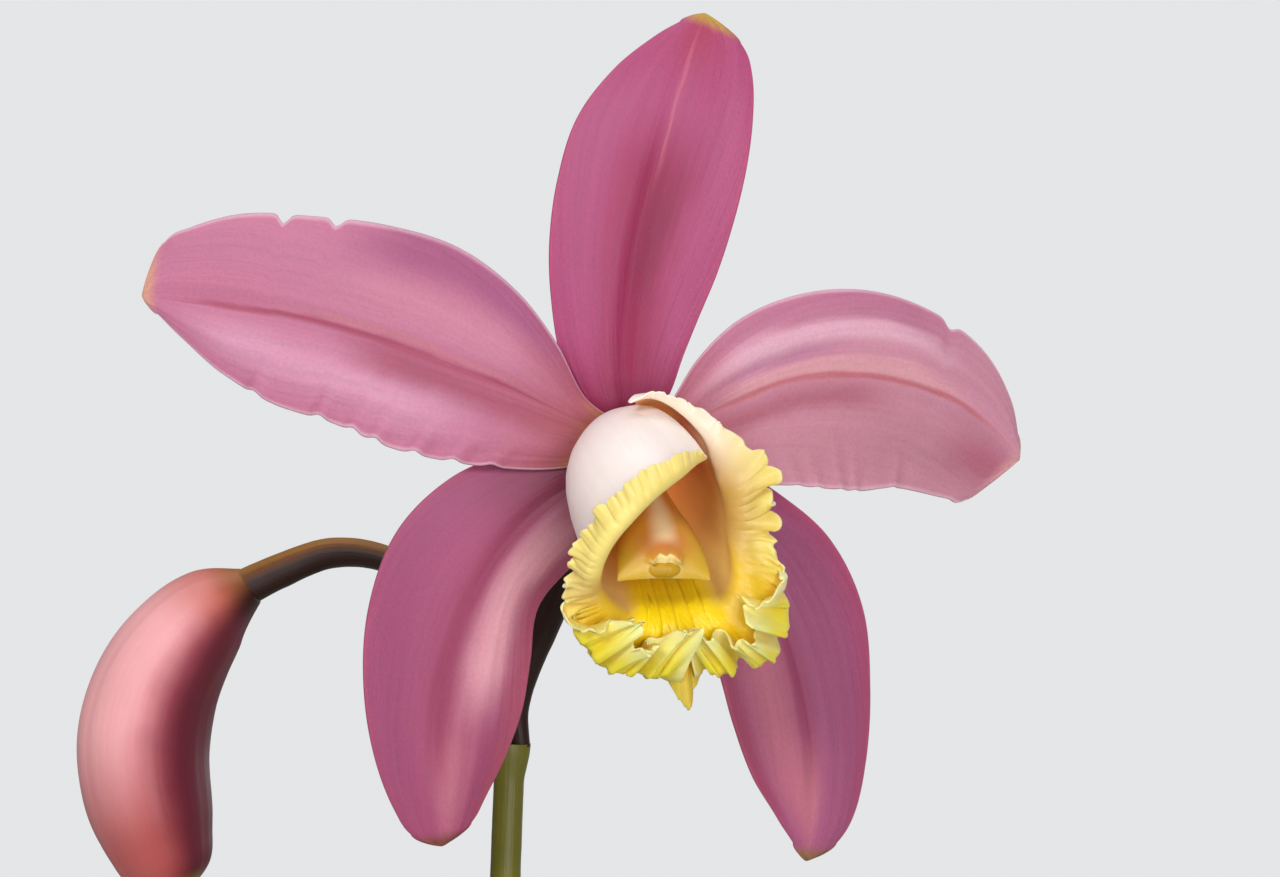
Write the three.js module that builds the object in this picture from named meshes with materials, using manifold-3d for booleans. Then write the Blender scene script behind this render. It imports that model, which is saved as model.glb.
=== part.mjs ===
// Potted bifoliate orchid in flower: a plain clay pot of bark, jointed canes with
// leathery leaves, and one open bloom with a hanging bud beside it.
// Millimetres, +Z up, origin at the centre of the pot's foot. The bloom faces -Y.

import * as THREE from "three";
import { mergeVertices } from "three/addons/utils/BufferGeometryUtils.js";
import Module from "manifold-3d";

const wasm = await Module();
wasm.setup();

const { degToRad, lerp, clamp, smoothstep } = THREE.MathUtils;
const vec = (x, y, z) => new THREE.Vector3(x, y, z);

// Driving dimensions
const GAP = 0.3; // left between pieces that grow against each other

const POT_HEIGHT = 105;
const POT_RIM_RADIUS = 64;
const POT_RIM_DEPTH = 20; // height of the thick band
const POT_FOOT_RADIUS = 43;
const POT_WALL = 5;
const DRAIN_RADIUS = 5;
const DRAIN_RING = 25; // the drain holes stand on this circle
const DRAIN_COUNT = 4;

const BARK_TOP = 92; // level of the bark's bed, before its chips
const BARK_CHIPS = 28;
const CHIP_SIZE = vec(18, 12, 6);

const RHIZOME_RADIUS = 4.6;
const RHIZOME_LEVEL = 96;
const ROOT_RADIUS = 1.5;

const CANE_SIDES = 9;
const INTERNODE = 27; // spacing of the rings on a cane
const SHEATH_THICK = 0.7;

const LEAF_THICK = 1.8;
const LEAF_CLASP = 85; // half angle, in degrees, that a leaf's foot wraps round its cane
const CLASP_CLEAR = 1.5; // the leaf's foot stands this far off the cane's tip, clear of its ring

const PEDUNCLE_RADIUS = 1.75;
const STEM_FOOT_RADIUS = 1.1;
const OVARY_RADIUS = 1.75;
const CUP_FLARE = 1.3; // the ovary's cup stands this far out under the bloom

const BUD_RADIUS = 7.7;

const BLOOM_CENTRE = vec(0, -16, 424); // where sepals, petals, lip and column meet
const TEPAL_THICK = 1.0;
const TEPAL_EDGE = 0.6;
const LIP_THICK = 0.7;
const LIP_DROOP = 33; // degrees that the lip's tube points below the level
const LIP_TURN = 15; // degrees that it points to the viewer's right
const LIP_ROLL = 9; // degrees that it is rolled, so that its front lobe hangs straight
const COLUMN_TURN = 11;
const COLUMN_LENGTH = 22.5;

// Colours
const COLOURS = {
  clay: 0xb4684a,
  bark: 0x6b4a34,
  rhizome: 0x7a7240,
  root: 0xc9c7b4,
  cane: 0x7f8a48,
  shoot: 0x8aa24c,
  husk: 0xcdbd98,
  leaf: 0x5d7d3a,
  peduncle: 0x7a7429,
  pedicel: 0x4a3024,
  bud: 0xd88d93,
  sepal: 0xa84c78,
  petal: 0xcf86a8,
  lip: 0xf0dc9a,
  column: 0xdfae78,
  anther: 0xe8cf6a,
};
const ROUGHNESS = { clay: 0.9, bark: 0.95, leaf: 0.45, husk: 0.8 };

// Solids

// Turns a closed geometry into a solid that can be joined and cut.
function solid(geometry) {
  const bare = geometry.clone();
  bare.deleteAttribute("normal");
  bare.deleteAttribute("uv");
  const merged = mergeVertices(bare, 1e-4);
  return new wasm.Manifold(
    new wasm.Mesh({
      numProp: 3,
      vertProperties: new Float32Array(merged.attributes.position.array),
      triVerts: new Uint32Array(merged.index.array),
    }),
  );
}

function geometryOf(manifold) {
  const mesh = manifold.getMesh();
  const geometry = new THREE.BufferGeometry();
  geometry.setAttribute("position", new THREE.BufferAttribute(mesh.vertProperties, 3));
  geometry.setIndex(new THREE.BufferAttribute(mesh.triVerts, 1));
  return geometry;
}

// Builds a geometry from points and triangles, turned so that its faces point out.
function closedGeometry(points, triangles) {
  let volume = 0;
  for (const [a, b, c] of triangles)
    volume += points[a].dot(points[b].clone().cross(points[c]));
  const index = triangles.flatMap(([a, b, c]) => (volume < 0 ? [a, c, b] : [a, b, c]));
  const geometry = new THREE.BufferGeometry().setFromPoints(points);
  geometry.setIndex(index);
  return geometry;
}

// A thin closed blade. at(u, v) is its middle surface and depth(u, v) its thickness.
function blade(at, depth, us, vs) {
  const rows = us.map((u) => vs.map((v) => at(u, v)));
  const columns = vs.length;
  const count = us.length * columns;
  const face = (side) =>
    us.flatMap((u, i) =>
      vs.map((v, j) => {
        const alongU = rows[Math.min(i + 1, us.length - 1)][j].clone().sub(rows[Math.max(i - 1, 0)][j]);
        const alongV = rows[i][Math.min(j + 1, columns - 1)].clone().sub(rows[i][Math.max(j - 1, 0)]);
        const normal = alongU.cross(alongV).normalize();
        return rows[i][j].clone().addScaledVector(normal, (side * depth(u, v)) / 2);
      }),
    );
  const points = [...face(1), ...face(-1)];
  const triangles = [];
  const quad = (a, b, c, d) => triangles.push([a, b, c], [a, c, d]);
  for (let i = 0; i < us.length - 1; i++)
    for (let j = 0; j < columns - 1; j++) {
      const corner = i * columns + j;
      const [a, b, c, d] = [corner, corner + columns, corner + columns + 1, corner + 1];
      quad(a, b, c, d);
      triangles.push([a + count, c + count, b + count], [a + count, d + count, c + count]);
    }
  const rim = [];
  for (let j = 0; j < columns - 1; j++) rim.push(j);
  for (let i = 0; i < us.length - 1; i++) rim.push(i * columns + columns - 1);
  for (let j = columns - 1; j > 0; j--) rim.push((us.length - 1) * columns + j);
  for (let i = us.length - 1; i > 0; i--) rim.push(i * columns);
  rim.forEach((a, k) => {
    const b = rim[(k + 1) % rim.length];
    quad(a, b, b + count, a + count);
  });
  return closedGeometry(points, triangles);
}

// A solid through rings of points, closed by a cap at each end or back onto itself.
function loft(rings, endless = false) {
  const sides = rings[0].length;
  const points = rings.flat();
  const triangles = [];
  const bands = endless ? rings.length : rings.length - 1;
  for (let i = 0; i < bands; i++)
    for (let j = 0; j < sides; j++) {
      const next = (j + 1) % sides;
      const low = i * sides;
      const high = ((i + 1) % rings.length) * sides;
      triangles.push([low + j, low + next, high + next], [low + j, high + next, high + j]);
    }
  if (!endless) {
    for (const [ring, start, turn] of [
      [rings[0], 0, -1],
      [rings.at(-1), (rings.length - 1) * sides, 1],
    ]) {
      const centre = ring.reduce((sum, p) => sum.add(p), vec(0, 0, 0)).divideScalar(sides);
      points.push(centre);
      for (let j = 0; j < sides; j++) {
        const next = (j + 1) % sides;
        const [a, b] = turn > 0 ? [j, next] : [next, j];
        triangles.push([start + a, start + b, points.length - 1]);
      }
    }
  }
  return closedGeometry(points, triangles);
}

// Rings across a curve. outline(t, angle) is the distance from the curve at that place.
function ringsAlong(curve, steps, sides, outline) {
  const frames = curve.computeFrenetFrames(steps, false);
  return Array.from({ length: steps + 1 }, (_, i) => {
    const t = i / steps;
    const middle = curve.getPointAt(t);
    return Array.from({ length: sides }, (_, j) => {
      const angle = (2 * Math.PI * j) / sides;
      return middle
        .clone()
        .addScaledVector(frames.normals[i], Math.cos(angle) * outline(t, angle))
        .addScaledVector(frames.binormals[i], Math.sin(angle) * outline(t, angle));
    });
  });
}

const stemAlong = (points) => new THREE.CatmullRomCurve3(points, false, "centripetal");

// Reads a short outline of [where, value] pairs as one smooth curve.
function readOutline(outline, x) {
  const last = outline.length - 1;
  if (x <= outline[0][0]) return outline[0][1];
  if (x >= outline[last][0]) return outline[last][1];
  const i = outline.findIndex(([at]) => at > x) - 1;
  const slope = (k) => {
    const [before, after] = [outline[Math.max(k - 1, 0)], outline[Math.min(k + 1, last)]];
    return (after[1] - before[1]) / (after[0] - before[0]);
  };
  const [[x0, y0], [x1, y1]] = [outline[i], outline[i + 1]];
  const span = x1 - x0;
  const t = (x - x0) / span;
  const rise = y0 * (1 + 2 * t) * (1 - t) ** 2 + y1 * t * t * (3 - 2 * t);
  return rise + span * (slope(i) * t * (1 - t) ** 2 - slope(i + 1) * t * t * (1 - t));
}

// Seeded draws between -1 and 1, so that each build is the same.
function drawFrom(seed) {
  let state = seed;
  return () => {
    state = (state * 1664525 + 1013904223) % 4294967296;
    return (state / 4294967296) * 2 - 1;
  };
}

const part = new THREE.Group();

function addPiece(name, shape, colour, roughness = 0.6) {
  const geometry = shape.isBufferGeometry ? shape : geometryOf(shape);
  geometry.deleteAttribute("uv");
  geometry.computeVertexNormals();
  const material = new THREE.MeshStandardMaterial({
    color: COLOURS[colour],
    roughness: ROUGHNESS[colour] ?? roughness,
    metalness: 0,
  });
  const mesh = new THREE.Mesh(geometry, material);
  mesh.name = name;
  part.add(mesh);
}

// Pot
const potInnerFloor = POT_WALL;
const potBandFoot = POT_HEIGHT - POT_RIM_DEPTH;
const potBandStep = 3; // the band stands this far out of the wall below it

function potWallRadius(z) {
  return lerp(POT_FOOT_RADIUS, POT_RIM_RADIUS - potBandStep, z / potBandFoot);
}

const potInnerRadius = (z) => potWallRadius(Math.min(z, potBandFoot)) - POT_WALL;

function makePot() {
  const outline = [
    [0, 0],
    [POT_FOOT_RADIUS - 1.5, 0],
    [POT_FOOT_RADIUS, 1.5],
    [potWallRadius(potBandFoot), potBandFoot],
    [POT_RIM_RADIUS - 0.8, potBandFoot + 1.2],
    [POT_RIM_RADIUS, potBandFoot + 3.5],
    [POT_RIM_RADIUS + 0.6, POT_HEIGHT - 2],
    [POT_RIM_RADIUS - 1.2, POT_HEIGHT],
    [potInnerRadius(POT_HEIGHT) + 3, POT_HEIGHT],
    [potInnerRadius(POT_HEIGHT) + 1, POT_HEIGHT - 2],
    [potInnerRadius(potBandFoot), potBandFoot],
    [potInnerRadius(potInnerFloor), potInnerFloor],
    [0, potInnerFloor],
  ].map(([r, z]) => new THREE.Vector2(r, z));
  const shell = new THREE.LatheGeometry(outline, 40).rotateX(Math.PI / 2);
  let pot = solid(shell);
  for (let i = 0; i < DRAIN_COUNT; i++) {
    const turn = ((i + 0.5) / DRAIN_COUNT) * 2 * Math.PI;
    const drill = new THREE.CylinderGeometry(DRAIN_RADIUS, DRAIN_RADIUS, 3 * POT_WALL, 12)
      .rotateX(Math.PI / 2)
      .translate(Math.cos(turn) * DRAIN_RING, Math.sin(turn) * DRAIN_RING, POT_WALL / 2);
    pot = pot.subtract(solid(drill));
  }
  return pot;
}

// Canes. lean is where the apex stands over the pot.
const canes = [
  { name: "cane_1", foot: vec(35, 14, 0), apex: vec(54, 27, 222), radius: 5.2, furrow: 0.09 },
  { name: "cane_2", foot: vec(19, 9, 0), apex: vec(33, 19, 252), radius: 5.6, furrow: 0.06 },
  { name: "cane_3", foot: vec(3, 3, 0), apex: vec(9, 9, 282), radius: 5.8, furrow: 0.04 },
  { name: "cane_4", foot: vec(-14, -2, 0), apex: vec(-14, 4, 310), radius: 6.0, furrow: 0.02 },
];
const shoot = { foot: vec(-30, -6, 0), apex: vec(-37, -10, 158) };
const APEX_RADIUS = 4.2;

function canePath({ foot, apex }, extra = 0) {
  const base = foot.clone().setZ(RHIZOME_LEVEL - extra);
  const bow = apex.clone().sub(base).multiplyScalar(0.35).add(base);
  bow.x -= (apex.x - base.x) * 0.18;
  bow.y -= (apex.y - base.y) * 0.18;
  const high = apex.clone().sub(base).multiplyScalar(0.75).add(base);
  return stemAlong([base, bow, high, apex]);
}

// Thin at the foot, thickest at two thirds of its height, ringed at each node.
function caneRadius(cane, t, angle, extra = 0) {
  const swell = readOutline(
    [[0, 0.62], [0.12, 0.7], [0.4, 0.86], [0.68, 1], [0.9, 0.86], [1, APEX_RADIUS / cane.radius]],
    t,
  );
  const joints = Math.round((cane.apex.z - RHIZOME_LEVEL) / INTERNODE);
  const fromNode = Math.abs(((t * joints + 0.5) % 1) - 0.5);
  const ring = fromNode < 0.02 ? 0.35 : -0.15;
  const groove = 1 + cane.furrow * Math.cos(5 * angle) * smoothstep(t, 0.1, 0.5);
  return cane.radius * swell * groove + ring + extra;
}

function caneSteps(cane) {
  return 3 * Math.round((cane.apex.z - RHIZOME_LEVEL) / INTERNODE);
}

function makeCane(cane, extra = 0) {
  const outline = (t, angle) => caneRadius(cane, t, angle, extra);
  return loft(ringsAlong(canePath(cane, extra), caneSteps(cane), CANE_SIDES, outline));
}

// Dry papery husks over the lower joints of a cane: stacked cups, as one shell.
function makeHusk(cane, joints) {
  const curve = canePath(cane);
  const total = caneSteps(cane);
  const first = 1; // clear of the cane's foot in the rhizome
  const last = joints * 3 - 1;
  const frames = curve.computeFrenetFrames(total, false);
  const ring = (i, angleRadius) => {
    const middle = curve.getPointAt(i / total);
    return Array.from({ length: CANE_SIDES }, (_, j) => {
      const angle = (2 * Math.PI * j) / CANE_SIDES;
      const r = angleRadius(i / total, angle);
      return middle
        .clone()
        .addScaledVector(frames.normals[i], Math.cos(angle) * r)
        .addScaledVector(frames.binormals[i], Math.sin(angle) * r);
    });
  };
  const inner = (t, angle) => caneRadius(cane, t, angle, GAP + 0.1);
  const flare = (i) => ((i % 3) / 2) * 0.8;
  const rings = [];
  for (let i = first; i <= last; i++)
    rings.push(ring(i, (t, angle) => inner(t, angle) + SHEATH_THICK + flare(i)));
  for (let i = last; i >= first; i--) rings.push(ring(i, inner));
  return loft(rings, true);
}

// Rhizome: the creeping stem that the canes stand on.
const rhizomePoints = [
  vec(45, 18, RHIZOME_LEVEL - 3),
  ...canes.map(({ foot }) => foot.clone().setZ(RHIZOME_LEVEL - 2)),
  shoot.foot.clone().setZ(RHIZOME_LEVEL - 2),
  vec(-37, -8, RHIZOME_LEVEL + 0.5),
];

// The same points with both ends pushed on, so that a cut leaves room beyond them.
function pushedOn(points, extra) {
  const [first, last] = [points[0].clone(), points.at(-1).clone()];
  first.add(first.clone().sub(points[1]).setLength(extra));
  last.add(last.clone().sub(points.at(-2)).setLength(extra));
  return [first, ...points.slice(1, -1), last];
}

function makeRhizome(extra = 0) {
  const outline = (t) => {
    const ends = Math.min(1, 0.45 + 6 * Math.min(t, 1 - t));
    return RHIZOME_RADIUS * ends * (1 + 0.06 * Math.cos(t * 60)) + extra;
  };
  return loft(ringsAlong(stemAlong(pushedOn(rhizomePoints, extra)), 22, 8, outline));
}

// New growth: a short green shoot of folded leaf bases.
function makeShoot(extra = 0) {
  const path = stemAlong([
    shoot.foot.clone().setZ(RHIZOME_LEVEL - extra),
    vec(shoot.foot.x - 1, shoot.foot.y - 1, RHIZOME_LEVEL + 20),
    shoot.apex,
  ]);
  const outline = (t, angle) => {
    const body = readOutline([[0, 3.2], [0.2, 4.6], [0.5, 4.4], [0.8, 2.8], [1, 0.5]], t);
    const flat = 1 - 0.3 * smoothstep(t, 0.2, 0.8) * Math.sin(angle) ** 2;
    const leafFoot = 0.4 * Math.max(0, Math.cos(t * 24)); // four folded leaf bases stand out
    return body * flat + leafFoot + extra;
  };
  return loft(ringsAlong(path, 16, 8, outline));
}

// Roots: silvery cords that creep over the bark and dive into it.
const roots = [
  { name: "root_1", route: [[-30, -6, 95], [-33, -17, 97], [-30, -30, 95], [-20, -38, 88]] },
  { name: "root_2", route: [[3, 3, 94], [5, -12, 97.5], [14, -24, 97], [18, -36, 88]] },
  { name: "root_3", route: [[28, 11, 93], [38, 2, 97.5], [45, -6, 96], [46, -14, 88]] },
  { name: "root_4", route: [[-14, -2, 94], [-16, 14, 98], [-9, 28, 97], [-11, 40, 88]] },
  {
    name: "root_5",
    route: [
      [-33, -7, 95], [-45, -14, 99], [-54, -18.5, 106], [-60.5, -21, 109.2],
      [-66.5, -23.5, 104], [-67.5, -26, 92], [-65.5, -28, 78], [-60.5, -32, 64], [-57, -37, 55],
    ],
  },
];

function makeRoot({ route }, extra = 0) {
  const path = stemAlong(pushedOn(route.map(([x, y, z]) => vec(x, y, z)), extra));
  const outline = (t) => ROOT_RADIUS * (1 - 0.25 * smoothstep(t, 0.8, 1)) + extra;
  return loft(ringsAlong(path, 3 * (route.length - 1), 6, outline));
}

// Bark: a packed bed with loose chips standing out of its top.
function makeBark() {
  const wall = (z) => potInnerRadius(z) - GAP - 0.15;
  const outline = [
    [0, potInnerFloor + GAP],
    [wall(potInnerFloor), potInnerFloor + GAP],
    [wall(potBandFoot), potBandFoot],
    [wall(BARK_TOP), BARK_TOP - 2],
    [30, BARK_TOP + 0.5],
    [0, BARK_TOP + 1.5],
  ].map(([r, z]) => new THREE.Vector2(r, z));
  let bark = solid(new THREE.LatheGeometry(outline, 32).rotateX(Math.PI / 2));
  const draw = drawFrom(41);
  const reach = wall(BARK_TOP) - 0.6 * CHIP_SIZE.x;
  for (let i = 0; i < BARK_CHIPS; i++) {
    const size = CHIP_SIZE.clone().multiplyScalar(1 + 0.3 * draw());
    const chip = new THREE.BoxGeometry(size.x, size.y, size.z);
    const place = chip.attributes.position;
    const nudge = Array.from({ length: 8 }, () => vec(draw(), draw(), draw()));
    for (let k = 0; k < place.count; k++) {
      const [x, y, z] = [place.getX(k), place.getY(k), place.getZ(k)];
      const corner = nudge[(x > 0) + 2 * (y > 0) + 4 * (z > 0)];
      place.setXYZ(k, x + 1.4 * corner.x, y + 1.1 * corner.y, z + 0.7 * corner.z);
    }
    const spread = reach * Math.sqrt((i + 0.5) / BARK_CHIPS);
    const turn = i * 2.39996; // the golden angle spreads the chips evenly
    chip.rotateX(0.45 * draw()).rotateY(0.45 * draw()).rotateZ(3.1 * draw());
    chip.translate(
      Math.cos(turn) * spread,
      Math.sin(turn) * spread,
      BARK_TOP + 1.4 + 1.6 * draw(),
    );
    bark = bark.add(solid(chip));
  }
  return bark;
}

// Leaves. An azimuth of 0 points along +X and 90 away from the viewer.
const leaves = [
  { name: "leaf_1", cane: 0, azimuth: 12, length: 94, width: 32, rise: 36, droop: 30 },
  { name: "leaf_2_rear", cane: 1, azimuth: 138, length: 112, width: 37, rise: 42, droop: 36 },
  { name: "leaf_2_front", cane: 1, azimuth: -42, length: 106, width: 36, rise: 40, droop: 36 },
  { name: "leaf_3_rear", cane: 2, azimuth: 92, length: 118, width: 39, rise: 40, droop: 38 },
  { name: "leaf_3_front", cane: 2, azimuth: -88, length: 112, width: 38, rise: 36, droop: 42 },
  { name: "leaf_4_rear", cane: 3, azimuth: 42, length: 120, width: 41, rise: 36, droop: 44 },
  { name: "leaf_4_front", cane: 3, azimuth: -138, length: 118, width: 40, rise: 35, droop: 42 },
];

// The rib rises at the leaf's foot and bends over by droop degrees towards the tip.
function leafPoint(leaf, u, v) {
  const apex = canes[leaf.cane].apex;
  const out = vec(Math.cos(degToRad(leaf.azimuth)), Math.sin(degToRad(leaf.azimuth)), 0);
  const side = vec(-out.y, out.x, 0);
  const claspRadius = APEX_RADIUS + LEAF_THICK / 2 + CLASP_CLEAR;
  const rib = vec(0, 0, -7).addScaledVector(out, claspRadius);
  const bend = (w) => degToRad(lerp(88, leaf.rise, smoothstep(w, 0.02, 0.2)) - leaf.droop * w * w);
  const pieces = 24;
  for (let k = 0; k < pieces; k++) {
    const angle = bend(((k + 0.5) / pieces) * u);
    const step = (leaf.length * u) / pieces;
    rib.addScaledVector(out, Math.cos(angle) * step);
    rib.z += Math.sin(angle) * step;
  }
  const tilt = bend(u);
  const up = out.clone().multiplyScalar(-Math.sin(tilt)).setZ(Math.cos(tilt));
  const footWidth = claspRadius * degToRad(LEAF_CLASP);
  const blunt = clamp((u - 0.45) / 0.55, 0, 1);
  const body = (leaf.width / 2) * Math.sqrt(Math.max(0, 1 - blunt ** 2.6));
  const half = Math.max(1.2, lerp(footWidth, body, smoothstep(u, 0.04, 0.42)));
  const curl = degToRad(lerp(LEAF_CLASP, 16, smoothstep(u, 0.03, 0.4)));
  return apex
    .clone()
    .add(rib)
    .addScaledVector(side, (half / curl) * Math.sin(curl * v))
    .addScaledVector(up, (half / curl) * (1 - Math.cos(curl * v)));
}

function makeLeaf(leaf) {
  const us = [0, 0.06, 0.13, 0.22, 0.34, 0.48, 0.62, 0.75, 0.86, 0.94, 0.985, 1];
  const depth = (u, v) => lerp(LEAF_THICK, 0.9, Math.max(v * v, u ** 4));
  return blade((u, v) => leafPoint(leaf, u, v), depth, us, [-1, -0.55, 0, 0.55, 1]);
}

// Flower stalk, its papery spathe and its two flower stems
const stalkTop = BLOOM_CENTRE.clone().add(vec(-14.0, 20, -33.7));
const stalkFoot = canes[3].apex.clone().add(vec(0, 0, GAP));
const stalkPath = stemAlong([
  stalkFoot,
  stalkFoot.clone().lerp(stalkTop, 0.4).add(vec(-1.4, 0.4, 0)),
  stalkFoot.clone().lerp(stalkTop, 0.8).add(vec(-0.6, 0.2, 0)),
  stalkTop,
]);

function makeStalk() {
  const outline = (t) => PEDUNCLE_RADIUS * (1 + 0.35 * smoothstep(t, 0.94, 1));
  return loft(ringsAlong(stalkPath, 18, 8, outline));
}

const SPATHE_HEIGHT = 44;

// A flattened dry sheath round the foot of the stalk, open at its top.
function makeSpathe() {
  const ring = (t, inset) => {
    const middle = stalkPath.getPointAt((t * SPATHE_HEIGHT) / stalkPath.getLength());
    const wide = readOutline([[0, 2.9], [0.35, 5.2], [0.75, 5.4], [1, 3.4]], t) - inset;
    const thin = readOutline([[0, 2.9], [0.35, 3.3], [0.75, 3.5], [1, 2.9]], t) - inset;
    return Array.from({ length: 12 }, (_, j) => {
      const angle = (2 * Math.PI * j) / 12;
      const lip = t === 1 ? 3.5 * Math.cos(angle) : 0; // the top is cut aslant
      return middle.clone().add(vec(Math.cos(angle) * wide, Math.sin(angle) * thin, lip));
    });
  };
  const levels = [0, 0.2, 0.45, 0.7, 1];
  const outer = levels.map((t) => ring(t, 0));
  const inner = levels.toReversed().map((t) => ring(t, 0.65));
  return loft([...outer, ...inner], true);
}

const fromBloom = (x, y, z) => BLOOM_CENTRE.clone().add(vec(x, y, z));
const bloomStemPath = stemAlong([
  stalkTop.clone().add(vec(1.3, -0.5, GAP + 0.2)),
  fromBloom(-13.2, 19.5, -30),
  fromBloom(-12.2, 18, -25.6),
  fromBloom(-10.3, 16.5, -20.8),
  fromBloom(-7.9, 13.6, -15.2),
  fromBloom(-4.6, 9.5, -8.2),
  fromBloom(-1.2, 5.2, -1.8),
  fromBloom(0, 2.5, 0),
]);

// The stem of the bloom: thin below, its ribbed ovary thicker above, a small cup on top.
function makeBloomStem() {
  const outline = (t, angle) => {
    const radii = [[0, STEM_FOOT_RADIUS], [0.12, 1.35], [0.4, OVARY_RADIUS], [1, OVARY_RADIUS]];
    const ribs = 1 + 0.07 * Math.cos(3 * angle) * smoothstep(t, 0.3, 0.6);
    return readOutline(radii, t) * ribs + CUP_FLARE * smoothstep(t, 0.93, 1);
  };
  return loft(ringsAlong(bloomStemPath, 22, 9, outline));
}

const BUD_DEPTH = 28; // the bud hangs this far behind the bloom's centre
const budPath = stemAlong([
  fromBloom(-44.7, BUD_DEPTH, -15.9),
  fromBloom(-49.2, BUD_DEPTH, -18.8),
  fromBloom(-52.9, BUD_DEPTH, -22.9),
  fromBloom(-55.6, BUD_DEPTH, -27.7),
  fromBloom(-57.0, BUD_DEPTH - 0.5, -33.5),
  fromBloom(-56.8, BUD_DEPTH - 1, -38.5),
  fromBloom(-55.4, BUD_DEPTH - 1.5, -44.2),
  fromBloom(-53.0, BUD_DEPTH - 2, -51.5),
]);
const budStemPath = stemAlong([
  stalkTop.clone().add(vec(-1.3, 0.6, GAP + 0.45)),
  fromBloom(-17.4, 22.6, -26),
  fromBloom(-22.2, 25, -16.6),
  fromBloom(-28.9, 27, -12.7),
  fromBloom(-35.2, BUD_DEPTH, -12.1),
  fromBloom(-41.2, BUD_DEPTH, -14.2),
  fromBloom(-44.2, BUD_DEPTH, -15.6),
]);

function makeBudStem() {
  const radii = [[0, STEM_FOOT_RADIUS], [0.12, 1.25], [0.45, 1.35], [0.8, 1.85], [1, 2.2]];
  return loft(ringsAlong(budStemPath, 20, 8, (t) => readOutline(radii, t)));
}

// Three sepals closed edge to edge: a bent pod with three soft seams.
function makeBud() {
  const shape = [
    [0, 0.3], [0.12, 0.66], [0.25, 0.84], [0.39, 0.95], [0.53, 1],
    [0.66, 0.98], [0.76, 0.93], [0.86, 0.8], [0.94, 0.64], [0.985, 0.36], [1, 0.1],
  ];
  const seams = (angle) => 1 + 0.045 * Math.cos(3 * angle);
  const outline = (t, angle) => BUD_RADIUS * readOutline(shape, t) * seams(angle);
  return loft(ringsAlong(budPath, 16, 12, outline));
}

// Sepals and petals. Each rib is a bezier from the bloom's centre, in millimetres: x to
// the viewer's right, y away from the viewer, z up. The widths are those of the two sides
// of the rib, as seen from in front with the tip up, at these shares of its length.
const WIDTHS_AT = [0, 0.08, 0.17, 0.28, 0.41, 0.55, 0.69, 0.82, 0.92, 0.97, 1];
const tepals = [
  {
    name: "dorsal_sepal",
    colour: "sepal",
    rib: [[-0.4, 1.6, 2.5], [-2.6, -0.6, 17], [2.6, -2, 33], [8, 2, 48.2]],
    left: [2.8, 4.9, 6.7, 8.0, 9.2, 9.8, 9.5, 7.2, 4.1, 2.0, 0.4],
    right: [2.8, 5.1, 6.5, 8.0, 9.4, 10.0, 9.8, 8.7, 6.9, 4.7, 0.4],
    facing: vec(0.1, -1, 0.1),
    camber: 0.12,
  },
  {
    name: "sepal_left",
    colour: "sepal",
    rib: [[-2.6, 1.5, -2.2], [-17, -1, -6.5], [-24, 0, -27], [-21, 5, -43.9]],
    left: [3.2, 6.2, 7.2, 7.0, 6.8, 8.4, 8.9, 7.5, 5.1, 3.3, 0.4],
    right: [3.2, 5.4, 6.8, 9.2, 10.7, 10.2, 8.6, 6.6, 4.6, 3.1, 0.4],
    facing: vec(0.1, -1, 0),
    camber: 0.14,
  },
  {
    name: "sepal_right",
    colour: "sepal",
    rib: [[2.6, 1.5, -2.2], [14.2, 5.2, -7], [22.9, 9, -27.3], [19.8, 13, -46.4]],
    left: [3.2, 4.4, 5.4, 7.1, 9.3, 9.7, 8.2, 6.7, 5.2, 3.3, 0.4],
    right: [3.0, 4.8, 6.3, 7.6, 8.4, 8.5, 8.4, 6.9, 3.8, 1.7, 0.4],
    facing: vec(0.3, -1, 0),
    camber: 0.14,
  },
  {
    name: "petal_left",
    colour: "petal",
    rib: [[-2.4, 0.2, 1.4], [-19, -2.5, 10.5], [-36, -3, 15.5], [-53.9, 1, 17]],
    left: [3.2, 6.2, 8.3, 9.9, 10.7, 10.0, 9.5, 7.1, 3.7, 1.6, 0.4],
    right: [1.8, 2.6, 6.5, 10.1, 12.3, 12.3, 11.3, 10.2, 7.9, 5.8, 0.4],
    facing: vec(0.1, -1, 0),
    camber: 0.05,
  },
  {
    name: "petal_right",
    colour: "petal",
    rib: [[3, 0.2, 0.8], [16, 3.2, 10], [33, 12, 13], [44.6, 22, -1]],
    left: [1.8, 3.1, 5.7, 8.0, 9.2, 9.4, 8.5, 6.9, 4.1, 1.8, 0.4],
    right: [3.0, 6.8, 9.4, 11.1, 12.5, 13.0, 12.0, 11.0, 9.5, 7.8, 0.4],
    facing: vec(0.3, -1, 0.08),
    camber: 0.08,
  },
];

function tepalPoint(tepal, u, v) {
  const curve = new THREE.CubicBezierCurve3(...tepal.rib.map(([x, y, z]) => vec(x, y, z)));
  const heading = curve.getTangent(u);
  const across = heading.clone().cross(tepal.facing).normalize();
  const facing = across.clone().cross(heading).normalize();
  const widths = v < 0 ? tepal.left : tepal.right;
  const half = readOutline(WIDTHS_AT.map((share, i) => [share, widths[i]]), u);
  const back = tepal.camber * half * v * v;
  return curve
    .getPoint(u)
    .add(BLOOM_CENTRE)
    .addScaledVector(across, half * v)
    .addScaledVector(facing, -back);
}

function makeTepal(tepal) {
  const us = [0, 0.08, 0.16, 0.25, 0.35, 0.45, 0.55, 0.65, 0.75, 0.84, 0.91, 0.955, 0.985, 1];
  const vs = [-1, -0.75, -0.4, 0, 0.4, 0.75, 1];
  const depth = (u, v) => lerp(TEPAL_THICK, TEPAL_EDGE, Math.max(v * v, u ** 6));
  return blade((u, v) => tepalPoint(tepal, u, v), depth, us, vs);
}

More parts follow.
